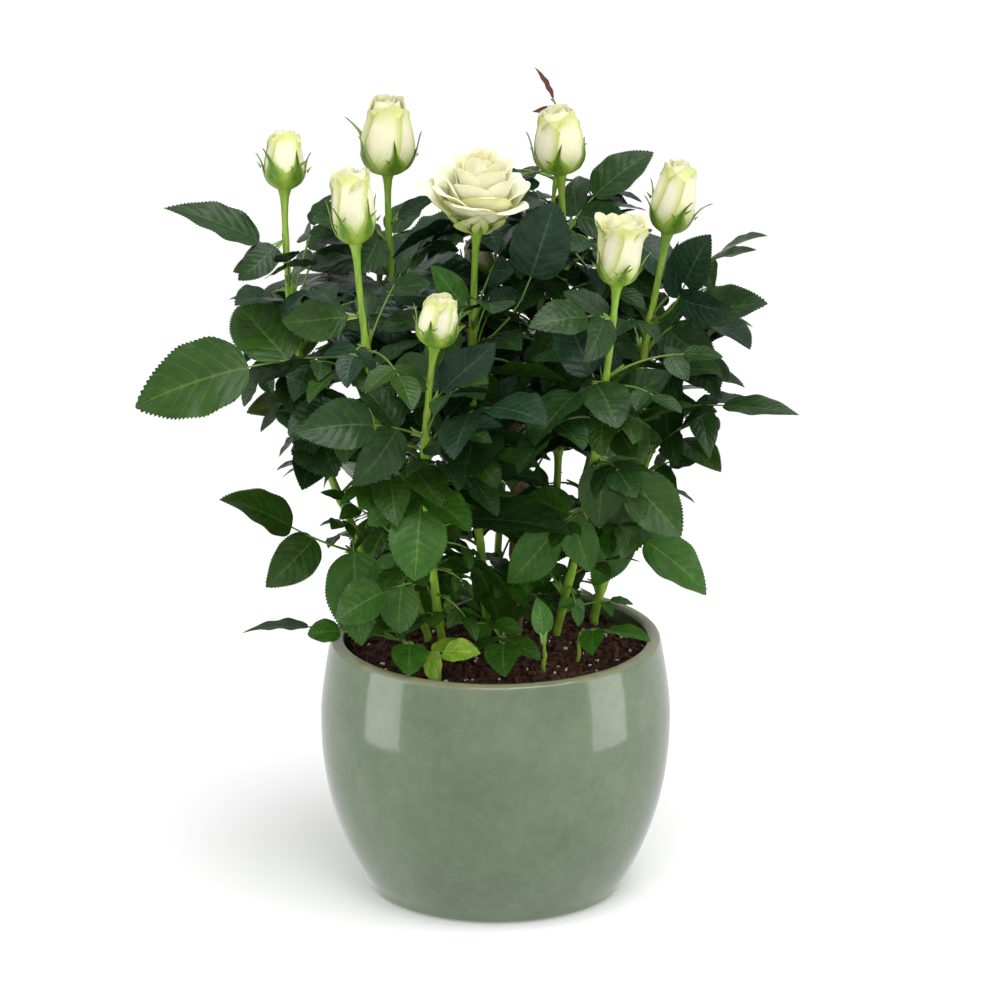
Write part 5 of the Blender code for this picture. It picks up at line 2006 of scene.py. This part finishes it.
@dataclass
class Canes:
    """The stems from the soil to the flowers, with their nodes, prickles and buds."""

    sides: int = 12
    step: float = 4 * MM
    node: float = 0.16  # how much thicker a stem is where a leaf leaves it
    node_length: float = 3 * MM
    prickles: int = 5  # to a stem
    prickle: float = 2.6 * MM
    bud: float = 2.4 * MM
    slim: float = 0.82  # the bark within its solid
    kink: float = 0.9 * MM
    straight: float = 0.85  # share of the stem from which it no longer kinks
    uneven: Pair = (0.03, 0.14)  # green and old bark, in stem radii
    unevenness: float = 90.0  # to a metre
    hip: tuple[float, ...] = (0.82, 1.08, 1.75)  # swelling under a flower, in stem radii
    # rise above the stem's end, and radius in stem radii
    receptacle: tuple[Pair, ...] = (
        (1.5 * MM, 1.95), (3.0 * MM, 1.75), (4.2 * MM, 1.2))

    def stem(self, stem: Stem, leaves: Sequence[Leaf], kind: Bark) -> Patch:
        """One stem, thicker at its nodes and under its flower.

        Args:
            stem: its line.
            leaves: what grows on it.
            kind: its bark.

        Returns:
            The stem.
        """
        length = stem.length()
        count = round(length / self.step) + 1
        shares = [i / (count - 1) for i in range(count)]
        rough = kind is Bark.OLD
        radii = []
        for t in shares:
            radius = stem.radius(t) * (1 if rough else self.slim)
            for leaf in leaves:
                near = (t - leaf.at) * length / self.node_length
                radius += self.node * stem.radius(t) * exp(-near * near)
            spot = Vector((t * length * self.unevenness, stem.shoot.seed, 0))
            radius *= 1 + self.uneven[rough] * noise.noise(spot)
            if stem.shoot.flower:
                back = (t - 1) * length
                swell = np.interp(back, [place for place, _ in HIP_RINGS[:3]], self.hip)
                if back > HIP_RINGS[0][0]:
                    radius = max(radius, stem.radius(t) * float(swell))
            radii.append(radius)
        ways = [stem.direction(t) if t else Vector((0, 0, 1)) for t in shares]
        centres = [stem.point(t) + self.bent(stem, t) for t in shares]
        if stem.shoot.flower:
            for rise, swell in self.receptacle:
                centres.append(stem.head + ways[-1] * rise)
                radii.append(stem.radius(1) * swell)
                ways.append(ways[-1])
        centres[0] = centres[0] - Vector((0, 0, FOOT_CLEAR + 3 * MM))
        return Patch.tube(centres, radii, self.sides, kind.value, ways)

    def bent(self, stem: Stem, t: float) -> Vector:
        """How far a stem wanders from its curve at a share t, at its nodes most.

        Args:
            stem: the stem.
            t: the share of its length.

        Returns:
            How far, and which way.
        """
        beat = 9 * t + stem.shoot.seed
        if t >= self.straight:
            return Vector()
        away = Vector((sin(2.1 * beat), sin(3.4 * beat + 1), 0))
        return away * self.kink * sin(pi * min(1.0, t / self.straight))

    @staticmethod
    def thorn() -> Patch:
        """One prickle a unit high: broad and flat at its foot, hooked down at its point.

        Returns:
            The prickle.
        """
        deselect()
        bpy.ops.mesh.primitive_cone_add(vertices=6, radius1=0.5, radius2=0.0, depth=1,
                                        location=(0, 0, 0.5))
        obj = bpy.context.object
        bpy.ops.object.mode_set(mode="EDIT")
        bpy.ops.mesh.select_all(action="SELECT")
        bpy.ops.mesh.bisect(plane_co=(0, 0, 0.45), plane_no=(0, 0, 1))
        choose(obj, "VERT", lambda place: place.z > 0.4)
        bpy.ops.transform.translate(value=(-0.12, 0, 0))
        choose(obj, "VERT", lambda place: place.z > 0.9)
        bpy.ops.transform.translate(value=(-0.22, 0, 0))
        bpy.ops.mesh.select_all(action="SELECT")
        bpy.ops.transform.resize(value=(1.25, 0.6, 1))
        bpy.ops.object.mode_set(mode="OBJECT")
        return Patch.of_object(obj)

    @staticmethod
    def side_bud() -> Patch:
        """One sleeping bud a unit high: a pointed dome.

        Returns:
            The bud.
        """
        deselect()
        bpy.ops.mesh.primitive_uv_sphere_add(segments=7, ring_count=5, radius=0.5,
                                             location=(0, 0, 0.3))
        obj = bpy.context.object
        for vertex in obj.data.vertices:
            if vertex.co.z > 0:
                vertex.co.z *= 1.5
                vertex.co.xy *= 1 - 0.4 * min(1, vertex.co.z)
        return Patch.of_object(obj)

    def build(self, growth: Growth) -> None:
        """Makes all the stems, with prickles, and with a bud over every leaf.

        Args:
            growth: the stems and their leaves.
        """
        piece = Piece("rose_canes", CANE_FINISHES)
        thorn, bud = self.thorn(), self.side_bud()
        rng = random.Random(8)
        nodes = []
        for stem in growth.stems:
            shoot = stem.shoot
            bark = Bark.OLD if shoot.name == "old_wood" else Bark.GREEN
            leaves = growth.placed[shoot.name]
            piece.take(self.stem(stem, leaves, bark))
            if shoot.bare:
                nodes.append("cane_" + shoot.name)
            if bark is Bark.OLD:
                continue
            for i in range(self.prickles):
                t = 0.08 + 0.62 * (i + rng.random()) / self.prickles
                way = stem.direction(t)
                round_it = i * 2.4 + shoot.seed
                level = Vector((cos(round_it), sin(round_it), 0))
                out = (level - way * level.dot(way)).normalized()
                size = self.prickle * rng.uniform(0.6, 1.1)
                base = stem.point(t) + out * (stem.radius(t) - 0.3 * MM)
                piece.take(thorn.placed(base, (way, out.cross(way), out), size,
                                        Bark.PRICKLE.value))
            for leaf in leaves:
                frame_ = LeafFrame(leaf, stem)
                way = stem.direction(leaf.at)
                out = (frame_.ahead - way * frame_.ahead.dot(way)).normalized()
                size = self.bud * rng.uniform(0.5, 1.0)
                base = stem.point(leaf.at) + out * stem.radius(leaf.at) * 0.8 + way * 2.2 * MM
                lean = (way + out * 0.6).normalized()
                side = lean.cross(way).normalized()
                piece.take(bud.placed(base, (side, lean.cross(side), lean), size,
                                      Bark.BUD.value))
        piece.build("green cane bark", *nodes)


@dataclass
class Foliage:
    """The leaves: their stalks, stipules and leaflets, in pieces by part of the plant."""

    sides: int = 5
    stipule: float = 9 * MM
    stipule_width: float = 2.0 * MM
    # share of a stipule's length, where its outer and its inner edge run, in its widths
    stipule_edges: tuple[tuple[float, float, float], ...] = (
        (0.0, 0.35, 0.0), (0.35, 0.8, 0.0), (0.75, 1.0, 0.1), (1.0, 1.25, 0.9))
    reddish: float = 0.15  # share of the stalks
    low: float = 170 * MM  # the heights where leaves are palest and darkest
    high: float = 380 * MM
    spray: float = 0.17  # how far chance moves a leaf's colour
    moods: tuple[tuple[float, Tint], ...] = (
        (0.8, Tint.DEEP), (0.45, Tint.DARK), (0.15, Tint.MID), (-9.0, Tint.FRESH))

    # where the stems of each part have their heads, from side to side
    parts: tuple[tuple[str, float, float], ...] = (
        ("left", -1.0, -45 * MM), ("middle", -45 * MM, 40 * MM), ("right", 40 * MM, 1.0))

    def tint(self, leaf: Leaf, at: Vector, rng: random.Random) -> Tint:
        """The colour of a leaf, by its height and by chance.

        Args:
            leaf: the leaf.
            at: the middle of its end leaflet.
            rng: what chance is drawn from.

        Returns:
            The colour.
        """
        if leaf.tint:
            return leaf.tint
        mood = (at.z - self.low) / (self.high - self.low) + rng.gauss(0, self.spray)
        return next(tint for least, tint in self.moods if mood > least)

    def stalk(self, frame_: LeafFrame, kind: int) -> Patch:
        """A leaf's stalk, from inside the bark to the end leaflet.

        Args:
            frame_: where the leaf lies.
            kind: the stalk's finish.

        Returns:
            The stalk.
        """
        count = 5 + 3 * frame_.pairs
        start = frame_.bark * 0.25
        places = [start + (frame_.span - start) * i / (count - 1) for i in range(count)]
        radii = [frame_.stalk_radius(s) * (0.82 + 0.55 * exp(-s / (3 * MM)))
                 for s in places]
        return Patch.tube([frame_.point(s) for s in places], radii, self.sides, kind)

    def stipules(self, frame_: LeafFrame, kind: int) -> Iterator[Patch]:
        """The two narrow wings at the foot of a stalk, with their free tips.

        Args:
            frame_: where the leaf lies.
            kind: their finish.

        Yields:
            The two, or none on a very short stalk.
        """
        length = min(self.stipule, frame_.first * 0.8)
        if length < 3 * MM:
            return
        for side in (-1, 1):
            rows = []
            for share, wide, free in self.stipule_edges:
                s = frame_.bark * 0.4 + length * share
                _, right, up = frame_.axes(s)
                middle = frame_.point(s) + up * frame_.stalk_radius(s) * 0.4
                inner = middle + right * side * self.stipule_width * free
                outer = middle + right * side * self.stipule_width * wide
                outer += up * 0.5 * MM * share
                rows.append([inner, (inner + outer) / 2, outer][::-side])
            yield Patch.shell(np.array(rows), 0.25 * MM, kind)

    def build(self, growth: Growth, patterns: LeafletPatterns) -> None:
        """Makes all the leaves.

        Args:
            growth: the stems and their leaves.
            patterns: the leaflets.
        """
        tops = len(Tint)
        rng = random.Random(31)
        for name, low, high in self.parts:
            piece = Piece("rose_leaves_" + name, LEAF_FINISHES)
            nodes = []
            for stem in growth.stems:
                if not low <= stem.head.x <= high:
                    continue
                shoot = stem.shoot
                nodes.append(("leaves_" if shoot.bare else "low_") + shoot.name)
                for leaf in growth.placed[shoot.name]:
                    frame_ = LeafFrame(leaf, stem)
                    end = frame_.end_blade()
                    tint = self.tint(leaf, end.base + end.along * end.length / 2, rng)
                    young = tint in (Tint.BRIGHT, Tint.LIME)
                    back = tops + int(young)
                    stalk = tops + 2 + int(rng.random() < self.reddish)
                    piece.take(self.stalk(frame_, stalk))
                    piece.take(*self.stipules(frame_, tops + 4))
                    for blade in frame_.blades():
                        piece.take(patterns.copy(leaf, blade, rng, tint.value, back))
            piece.build("leaves and blossom", *nodes, shared_map=True, crease=75)


# ---- flowers


class Skin(Enum):
    """The finishes of the flowers' parts, in order."""

    OUTER_PETAL = 0
    INNER_PETAL = 1
    SEPAL = 2
    SEPAL_INSIDE = 3
    HEART = 4


@dataclass(frozen=True)
class Axes:
    """A flower's foot and its three directions."""

    base: Vector
    along: Vector
    side: Vector
    across: Vector

    @classmethod
    def of_stem(cls, stem: Stem) -> Axes:
        """The axes of the flower on a stem.

        Args:
            stem: the stem.

        Returns:
            The axes.
        """
        along = stem.direction(1.0)
        side = (Vector((1, 0, 0)) - along * along.x).normalized()
        side = Matrix.Rotation(radians(stem.shoot.flower.turn), 3, along) @ side
        return cls(stem.head + along * FLOWER_LIFT, along, side, along.cross(side))

    def set_out(self, grid: np.ndarray, heading: float) -> np.ndarray:
        """Turns points of (out, sideways, along) to a heading in radians round the flower.

        Args:
            grid: the points.
            heading: the angle.

        Returns:
            The points in place.
        """
        out = self.side * cos(heading) + self.across * sin(heading)
        turn = np.array([out, self.along.cross(out), self.along])
        return grid @ turn + np.array(self.base)


@dataclass(frozen=True)
class Petal:
    """A petal as a bent sheet: how it leans, cups, rounds off, rolls back and ruffles."""

    length: float
    half_width: float
    lean: Pair  # degrees from the axis, at its foot and edge
    cup: float  # radius of its curve from side to side
    point: float  # how far its middle comes to a point
    roll: float  # degrees that its edge turns back
    ruffle: float
    waves: float
    start: float = 1.5 * MM  # from the flower's axis at its foot
    lean_power: float = 0.7
    round_off: float = 0.3  # how much shorter its sides are
    rows: int = 16
    columns: int = 15
    foot_width: float = 0.35
    swirl: float = 0.16  # how far one edge stands over the next petal's, in half widths

    def grid(self, rng: random.Random) -> np.ndarray:
        """Its points as (out from the axis, sideways, along the axis).

        Args:
            rng: what its own ruffles are drawn from.

        Returns:
            Rows of points from its foot to its edge.
        """
        u = np.linspace(0, 1, self.rows)[:, None]
        v = np.linspace(-1, 1, self.columns)[None, :]
        steps = 40
        fine = (np.arange(steps) + 0.5) / steps
        low, high = (radians(angle) for angle in self.lean)
        angle = low + (high - low) * fine**self.lean_power
        angle = angle + radians(self.roll) * np.clip((fine - 0.8) / 0.2, 0, 1)
        out = np.concatenate([[0], np.cumsum(np.sin(angle))]) / steps
        rise = np.concatenate([[0], np.cumsum(np.cos(angle))]) / steps
        share = u * (1 - self.round_off * np.abs(v) ** 2.6
                     + self.point * (1 - np.abs(v)) ** 2)
        at = np.linspace(0, 1, steps + 1)
        reach = self.start + self.length * np.interp(share, at, out)
        height = self.length * np.interp(share, at, rise)
        wide = self.foot_width + (1 - self.foot_width) * np.sin(
            pi / 2 * np.clip(u / 0.62, 0, 1))
        wide = wide * (1 - 0.14 * np.clip((u - 0.75) / 0.25, 0, 1) ** 2)
        arc = v * wide * self.half_width
        cup = self.cup * (0.75 + 0.5 * u)
        turn = arc / cup
        depth = cup * (1 - np.cos(turn))
        sideways = cup * np.sin(turn)
        start = rng.uniform(0, 2 * pi)
        swing = np.sin(self.waves * pi * v + start) * np.abs(v) ** 0.7
        crest = np.sin(1.7 * self.waves * pi * v + 2 * start)
        edge = np.clip((u - 0.45) / 0.55, 0, 1) ** 2
        flutter = self.ruffle * (swing + 0.45 * crest) * edge
        flutter = flutter + self.swirl * self.half_width * v * np.clip(2 * u, 0, 1)
        return np.stack([reach - depth + flutter, sideways,
                         height + 0.35 * flutter + 0 * v], axis=2)


@dataclass
class Blossom:
    """Buds, the open bloom and their sepals."""

    petal_thickness: float = 0.5 * MM
    sepal_thickness: float = 0.7 * MM
    bud_petals: int = 10
    sepal_rows: int = 15
    twist: float = 40.0  # degrees that a petal climbs round its bud
    bud_grid: tuple[int, int] = (16, 13)
    guards: int = 5  # of a bud's petals, on its outside
    ring_height: float = 44 * MM  # of the bloom that the rings are for
    # count, length, half width, lean at the foot and edge, cup, roll, turn
    rings: tuple[tuple, ...] = (
        (5, 38.0, 20.5, (46, 47), 22.0, 50, 0.30, Skin.OUTER_PETAL),
        (5, 39.5, 19.0, (45, 30), 19.0, 45, 0.82, Skin.OUTER_PETAL),
        (5, 41.5, 17.0, (43, 12), 16.0, 42, 0.45, Skin.INNER_PETAL),
        (5, 43.5, 14.5, (39, -3), 13.0, 38, 0.05, Skin.INNER_PETAL),
        (4, 45.0, 12.5, (34, -12), 10.0, 34, 0.60, Skin.INNER_PETAL),
        (4, 45.5, 9.5, (27, -15), 7.2, 28, 0.10, Skin.INNER_PETAL),
        (3, 45.0, 6.0, (18, -14), 4.0, 20, 0.35, Skin.HEART),
        (3, 44.5, 4.0, (10, -9), 2.4, 10, 0.80, Skin.HEART))
    lobes: tuple[tuple[int, float], ...] = ((-1, 0.46), (1, 0.58))  # side and place on a sepal
    lobeless: float = 0.45  # share of the places without one
    # half a sepal's width, in bud radii, along its length
    sepal_widths: tuple[Pair, ...] = (
        (0.0, 0.30), (0.1, 0.50), (0.24, 0.53), (0.38, 0.42), (0.5, 0.23), (0.6, 0.11),
        (0.8, 0.06), (1.0, 0.0))

    @staticmethod
    def bud_radius(flower: Flower, share: float) -> float:
        """A bud's radius at a share of its height.

        Args:
            flower: the bud.
            share: of its height.

        Returns:
            The radius.
        """
        if share < BUD_WIDEST:
            swell = sqrt(1 - (1 - share / BUD_WIDEST) ** 2)
            return flower.radius * (BUD_FOOT + (1 - BUD_FOOT) * swell)
        fall = (share - BUD_WIDEST) / (1 - BUD_WIDEST)
        return flower.radius * (1 - (1 - flower.mouth) * fall**BUD_TAPER)

    def bud(self, flower: Flower, axes: Axes, rng: random.Random) -> Iterator[Patch]:
        """A bud: petals wrapped round each other, each with one edge over the next.

        Args:
            flower: its sizes.
            axes: where it stands.
            rng: what its own waves are drawn from.

        Yields:
            Its petals.
        """
        rows, columns = self.bud_grid
        u = np.linspace(0, 1, rows)[:, None]
        v = np.linspace(-1, 1, columns)[None, :]
        flared = max(0.0, flower.mouth - 0.5)  # how far its outer petals have let go
        for i in range(self.bud_petals):
            outer = i < self.guards
            # 1 at the heart
            deep = 0.0 if outer else (i + 1 - self.guards) / (self.bud_petals + 1 - self.guards)
            top = rng.uniform(0.93, 1.0) if outer else 1.0 + 0.02 * (i % 2)
            share = u * top * (1 - (0.16 if outer else 0.08) * np.abs(v) ** 2.6)
            share = share * (1 + 0.02 * np.sin(3.1 * v + i))
            radius = np.vectorize(lambda s: self.bud_radius(flower, min(1.0, s)))(share)
            rolled = np.clip((u - 0.8) / 0.2, 0, 1) ** 2
            tight = 1.0 - 0.012 * i if outer else 0.93 - 0.62 * deep * u**0.7
            radius = radius * (tight + 0.075 * (v + 1) / 2 - 0.045)
            radius = radius + flower.radius * rolled * (0.08 + 0.12 * flared if outer else 0.03)
            half = radians(78 if outer else 105)
            narrow = 0.62 + 0.38 * np.clip(u / 0.4, 0, 1)
            angle = v * half * narrow * (1 - 0.10 * u**3) + radians(self.twist) * u
            height = share * flower.height
            grid = np.stack([radius * np.cos(angle), radius * np.sin(angle),
                             height + 0 * v], axis=2)
            ripple = (0.03 + 0.09 * flared) * flower.radius * rolled
            grid[..., 2] += ripple * np.sin(6 * v + 2.4 * i)
            grid[..., 0] += ripple * np.sin(9 * v + 1.3 * i)
            heading = radians(TURN * i)
            kind = Skin.OUTER_PETAL if outer else Skin.INNER_PETAL
            yield Patch.shell(axes.set_out(grid, heading), self.petal_thickness, kind.value,
                              Skin.INNER_PETAL.value)
        # the heart closes the mouth
        top = flower.height * 0.9
        heart = [axes.base + axes.along * z for z in (0.3 * top, 0.7 * top, 0.93 * top, top)]
        wide = flower.radius * flower.mouth
        yield Patch.tube(heart, [wide * 0.5, wide * 0.72, wide * 0.5, wide * 0.12], 10,
                         Skin.HEART.value)

    def bloom(self, flower: Flower, axes: Axes, rng: random.Random) -> Iterator[Patch]:
        """The open bloom: broad ruffled guard petals round a full rosette.

        Args:
            flower: its sizes.
            axes: where it stands.
            rng: what its own waves are drawn from.

        Yields:
            Its petals.
        """
        scale = flower.height / self.ring_height
        for number, (count, length, half, lean, cup, roll, turn, skin) in enumerate(self.rings):
            for i in range(count):
                size = rng.uniform(0.95, 1.04) * scale * MM
                petal = Petal(length * size, half * MM, (lean[0], lean[1] + rng.uniform(-6, 6)),
                              cup * MM, max(0.0, 0.13 - 0.03 * number),
                              roll * rng.uniform(0.5, 1.3), (1.5 - 0.15 * number) * MM,
                              rng.uniform(1.3, 2.3))
                heading = 2 * pi * (i + turn) / count + rng.uniform(-0.12, 0.12)
                yield Patch.shell(axes.set_out(petal.grid(rng), heading),
                                  self.petal_thickness, skin.value, Skin.INNER_PETAL.value)

    def sepals(self, flower: Flower, axes: Axes, rng: random.Random) -> Iterator[Patch]:
        """Five long sepals: broad where they hold the bud, drawn out to a thin tip.

        Args:
            flower: its sizes.
            axes: where it stands.
            rng: what varies from sepal to sepal.

        Yields:
            The sepals, with the thin lobes on their sides.
        """
        rows = self.sepal_rows
        u = np.linspace(0, 1, rows)
        v = np.linspace(-1, 1, 5)
        for i in range(SEPALS):
            length = flower.sepal_length * rng.uniform(0.85, 1.12)
            flare = flower.sepal_flare * rng.uniform(0.2, 1.5) * (0.3 if flower.is_open else 1)
            height = u * length - 0.8 * MM
            hug = np.array([self.bud_radius(flower, min(1.0, max(0.0, h) / flower.height))
                            for h in height])
            if flower.is_open:
                hug = flower.radius * (0.24 + 0.95 * u)
            free = np.clip((u - 0.42) / 0.58, 0, 1)
            reach = hug + 0.55 * MM + flower.radius * flare * free**1.7
            height = height - 0.12 * length * flare * free**2
            half = np.interp(u, *zip(*self.sepal_widths)) * flower.radius * flower.hold
            bend = rng.uniform(-1, 1) * 5.0 * MM * free**1.4
            arc = half[:, None] * v[None, :]
            cup = np.maximum(hug, 4 * MM)[:, None]
            turn = arc / cup
            grid = np.stack([reach[:, None] - cup * (1 - np.cos(turn)) + 0.3 * MM * (
                1 - np.abs(v[None, :])), cup * np.sin(turn) + bend[:, None],
                height[:, None] + 0 * arc], axis=2)
            heading = 2 * pi * (i + SEPAL_TURN) / SEPALS
            yield Patch.shell(axes.set_out(grid, heading), self.sepal_thickness,
                              Skin.SEPAL.value, Skin.SEPAL_INSIDE.value)
            for side, at in self.lobes:
                if rng.random() < self.lobeless:
                    continue
                place = int(at * (rows - 1))
                root = grid[place, 2 + side]
                lobe = []
                for share in (0.0, 0.35, 0.7, 1.0):
                    thin = 0.7 * MM * (1 - share) + 0.05 * MM
                    middle = root + np.array([0.5 * MM + 1.6 * MM * share,
                                              side * 3.6 * MM * share, 3.4 * MM * share])
                    lobe.append([middle + np.array([0, w * thin, -w * side * thin])
                                 for w in (-1, 0, 1)])
                yield Patch.shell(axes.set_out(np.array(lobe), heading), 0.3 * MM,
                                  Skin.SEPAL.value)

    def build(self, growth: Growth) -> None:
        """Makes every flower.

        Args:
            growth: the stems that bear them.
        """
        piece = Piece("rose_blossom", BLOSSOM_FINISHES)
        nodes = []
        for stem in growth.stems:
            flower = stem.shoot.flower
            if not flower:
                continue
            nodes.append("leaves_" + stem.shoot.name)
            rng = random.Random(stem.shoot.seed + 400)
            axes = Axes.of_stem(stem)
            petals = self.bloom if flower.is_open else self.bud
            piece.take(*petals(flower, axes, rng))
            piece.take(*self.sepals(flower, axes, rng))
        piece.build("leaves and blossom", *nodes, shared_map=True, crease=80)


# ---- studio


@dataclass(frozen=True)
class Softbox:
    """A soft light: its size, place and aim in metres, and its power in watts."""

    name: str
    size: Pair
    place: Place
    aim: Place
    power: float
    seen: bool = False  # by the camera
    mirrored: bool = False  # in the glaze
    spread: float = 180.0  # degrees

    def hang(self) -> None:
        """Makes the light."""
        light = bpy.data.lights.new(self.name, "AREA")
        light.shape = "RECTANGLE"
        light.size, light.size_y = self.size
        light.energy, light.spread = self.power, radians(self.spread)
        obj = bpy.data.objects.new(self.name, light)
        obj.location = self.place
        way = Vector(self.aim) - Vector(self.place)
        obj.rotation_euler = way.to_track_quat("-Z", "Y").to_euler()
        obj.visible_camera, obj.visible_glossy = self.seen, self.mirrored
        bpy.context.scene.collection.objects.link(obj)


@dataclass
class Studio:
    """A white table, soft light from above and both sides, and the camera."""

    camera: Place = (0.0024, -4.0, 1.4853)
    tilt: float = 17.58  # degrees below level
    lens: float = 279.9
    lights: tuple[Softbox, ...] = (
        Softbox("overhead_softbox", (1.6, 1.2), (0.3, -0.35, 1.9), (0, 0, 0.2), 23.0, True, True),
        Softbox("front_fill", (1.4, 0.9), (0.5, -2.3, 0.7), (0, 0, 0.25), 13.0),
        Softbox("far_table_light", (4.0, 1.8), (0, 2.1, 1.0), (0, 2.101, 0), 4.0, spread=100),
        Softbox("left_strip", (0.22, 0.36), (-0.43, -0.13, 0.18), (0, 0, 0.13), 0.6,
                mirrored=True),
        Softbox("right_strip", (0.22, 0.36), (0.43, -0.13, 0.18), (0, 0, 0.13), 0.6,
                mirrored=True),
    )
    sky_level: float = 0.66  # how bright the surroundings are at the sides
    sky_rise: float = 0.12  # how much brighter they are overhead
    sky_floor: float = -0.3  # the height below which that no longer changes
    sky_back: float = -0.22  # how much darker they are behind
    bounce: float = 0.86  # the light that the table throws back
    horizon: Pair = (0.05, -0.12)  # heights between which it takes over

    def floor(self) -> None:
        """Lays the table. It lights nothing."""
        deselect()
        bpy.ops.mesh.primitive_plane_add(size=30, location=(0, 0, -0.3 * MM))
        obj = bpy.context.object
        obj.name = obj.data.name = "white_table"
        obj.visible_diffuse = obj.visible_glossy = False
        obj.data.materials.clear()
        obj.data.materials.append(TABLE_PAPER.material())

    def sky(self) -> None:
        """Sets the white surroundings, which the camera itself sees as plain white."""
        world = bpy.data.worlds.new("white studio")
        bpy.context.scene.world = world
        world.use_nodes = True
        world.node_tree.nodes.clear()
        add = partial(add_node, world.node_tree)
        _, back, up = add("SeparateXYZ", add("TexCoord")).node.outputs
        level = add("Math", add("Math", up, self.sky_floor, operation="MAXIMUM"),
                    self.sky_rise, self.sky_level, operation="MULTIPLY_ADD")
        level = add("Math", back, self.sky_back, level, operation="MULTIPLY_ADD")
        level = add("Mix", add("MapRange", up, *self.horizon), level, self.bounce)
        level = add("Mix", add("LightPath"), level, 1.0)
        add("OutputWorld", add("Background", (1, 1, 1, 1), level))

    def build(self) -> None:
        """Sets up everything that isn't part of the plant."""
        self.floor()
        self.sky()
        for light in self.lights:
            light.hang()
        lens = bpy.data.cameras.new("camera")
        lens.lens, lens.sensor_width, lens.clip_end = self.lens, 36, 100
        camera = bpy.data.objects.new("camera", lens)
        camera.location = self.camera
        camera.rotation_euler = (radians(90 - self.tilt), 0, 0)
        bpy.context.scene.collection.objects.link(camera)
        bpy.context.scene.camera = camera
        bpy.context.scene.view_settings.view_transform = "Standard"
        log.info("studio: floor, sky, %d lights and the camera", len(self.lights))


# ---- all of it


def main() -> None:
    """Builds the plant piece by piece, then the studio."""
    logging.basicConfig(level=logging.INFO, format="%(name)s: %(message)s")
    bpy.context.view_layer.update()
    Pot().build()
    Soil().build()
    growth = Growth(SHOOTS)
    growth.grow()
    for finer in FINER_LEAVES:
        growth.fill_in(finer)
    Canes().build(growth)
    Foliage().build(growth, LeafletPatterns(Habit()))
    Blossom().build(growth)
    Studio().build()


if __name__ == "__main__":
    main()
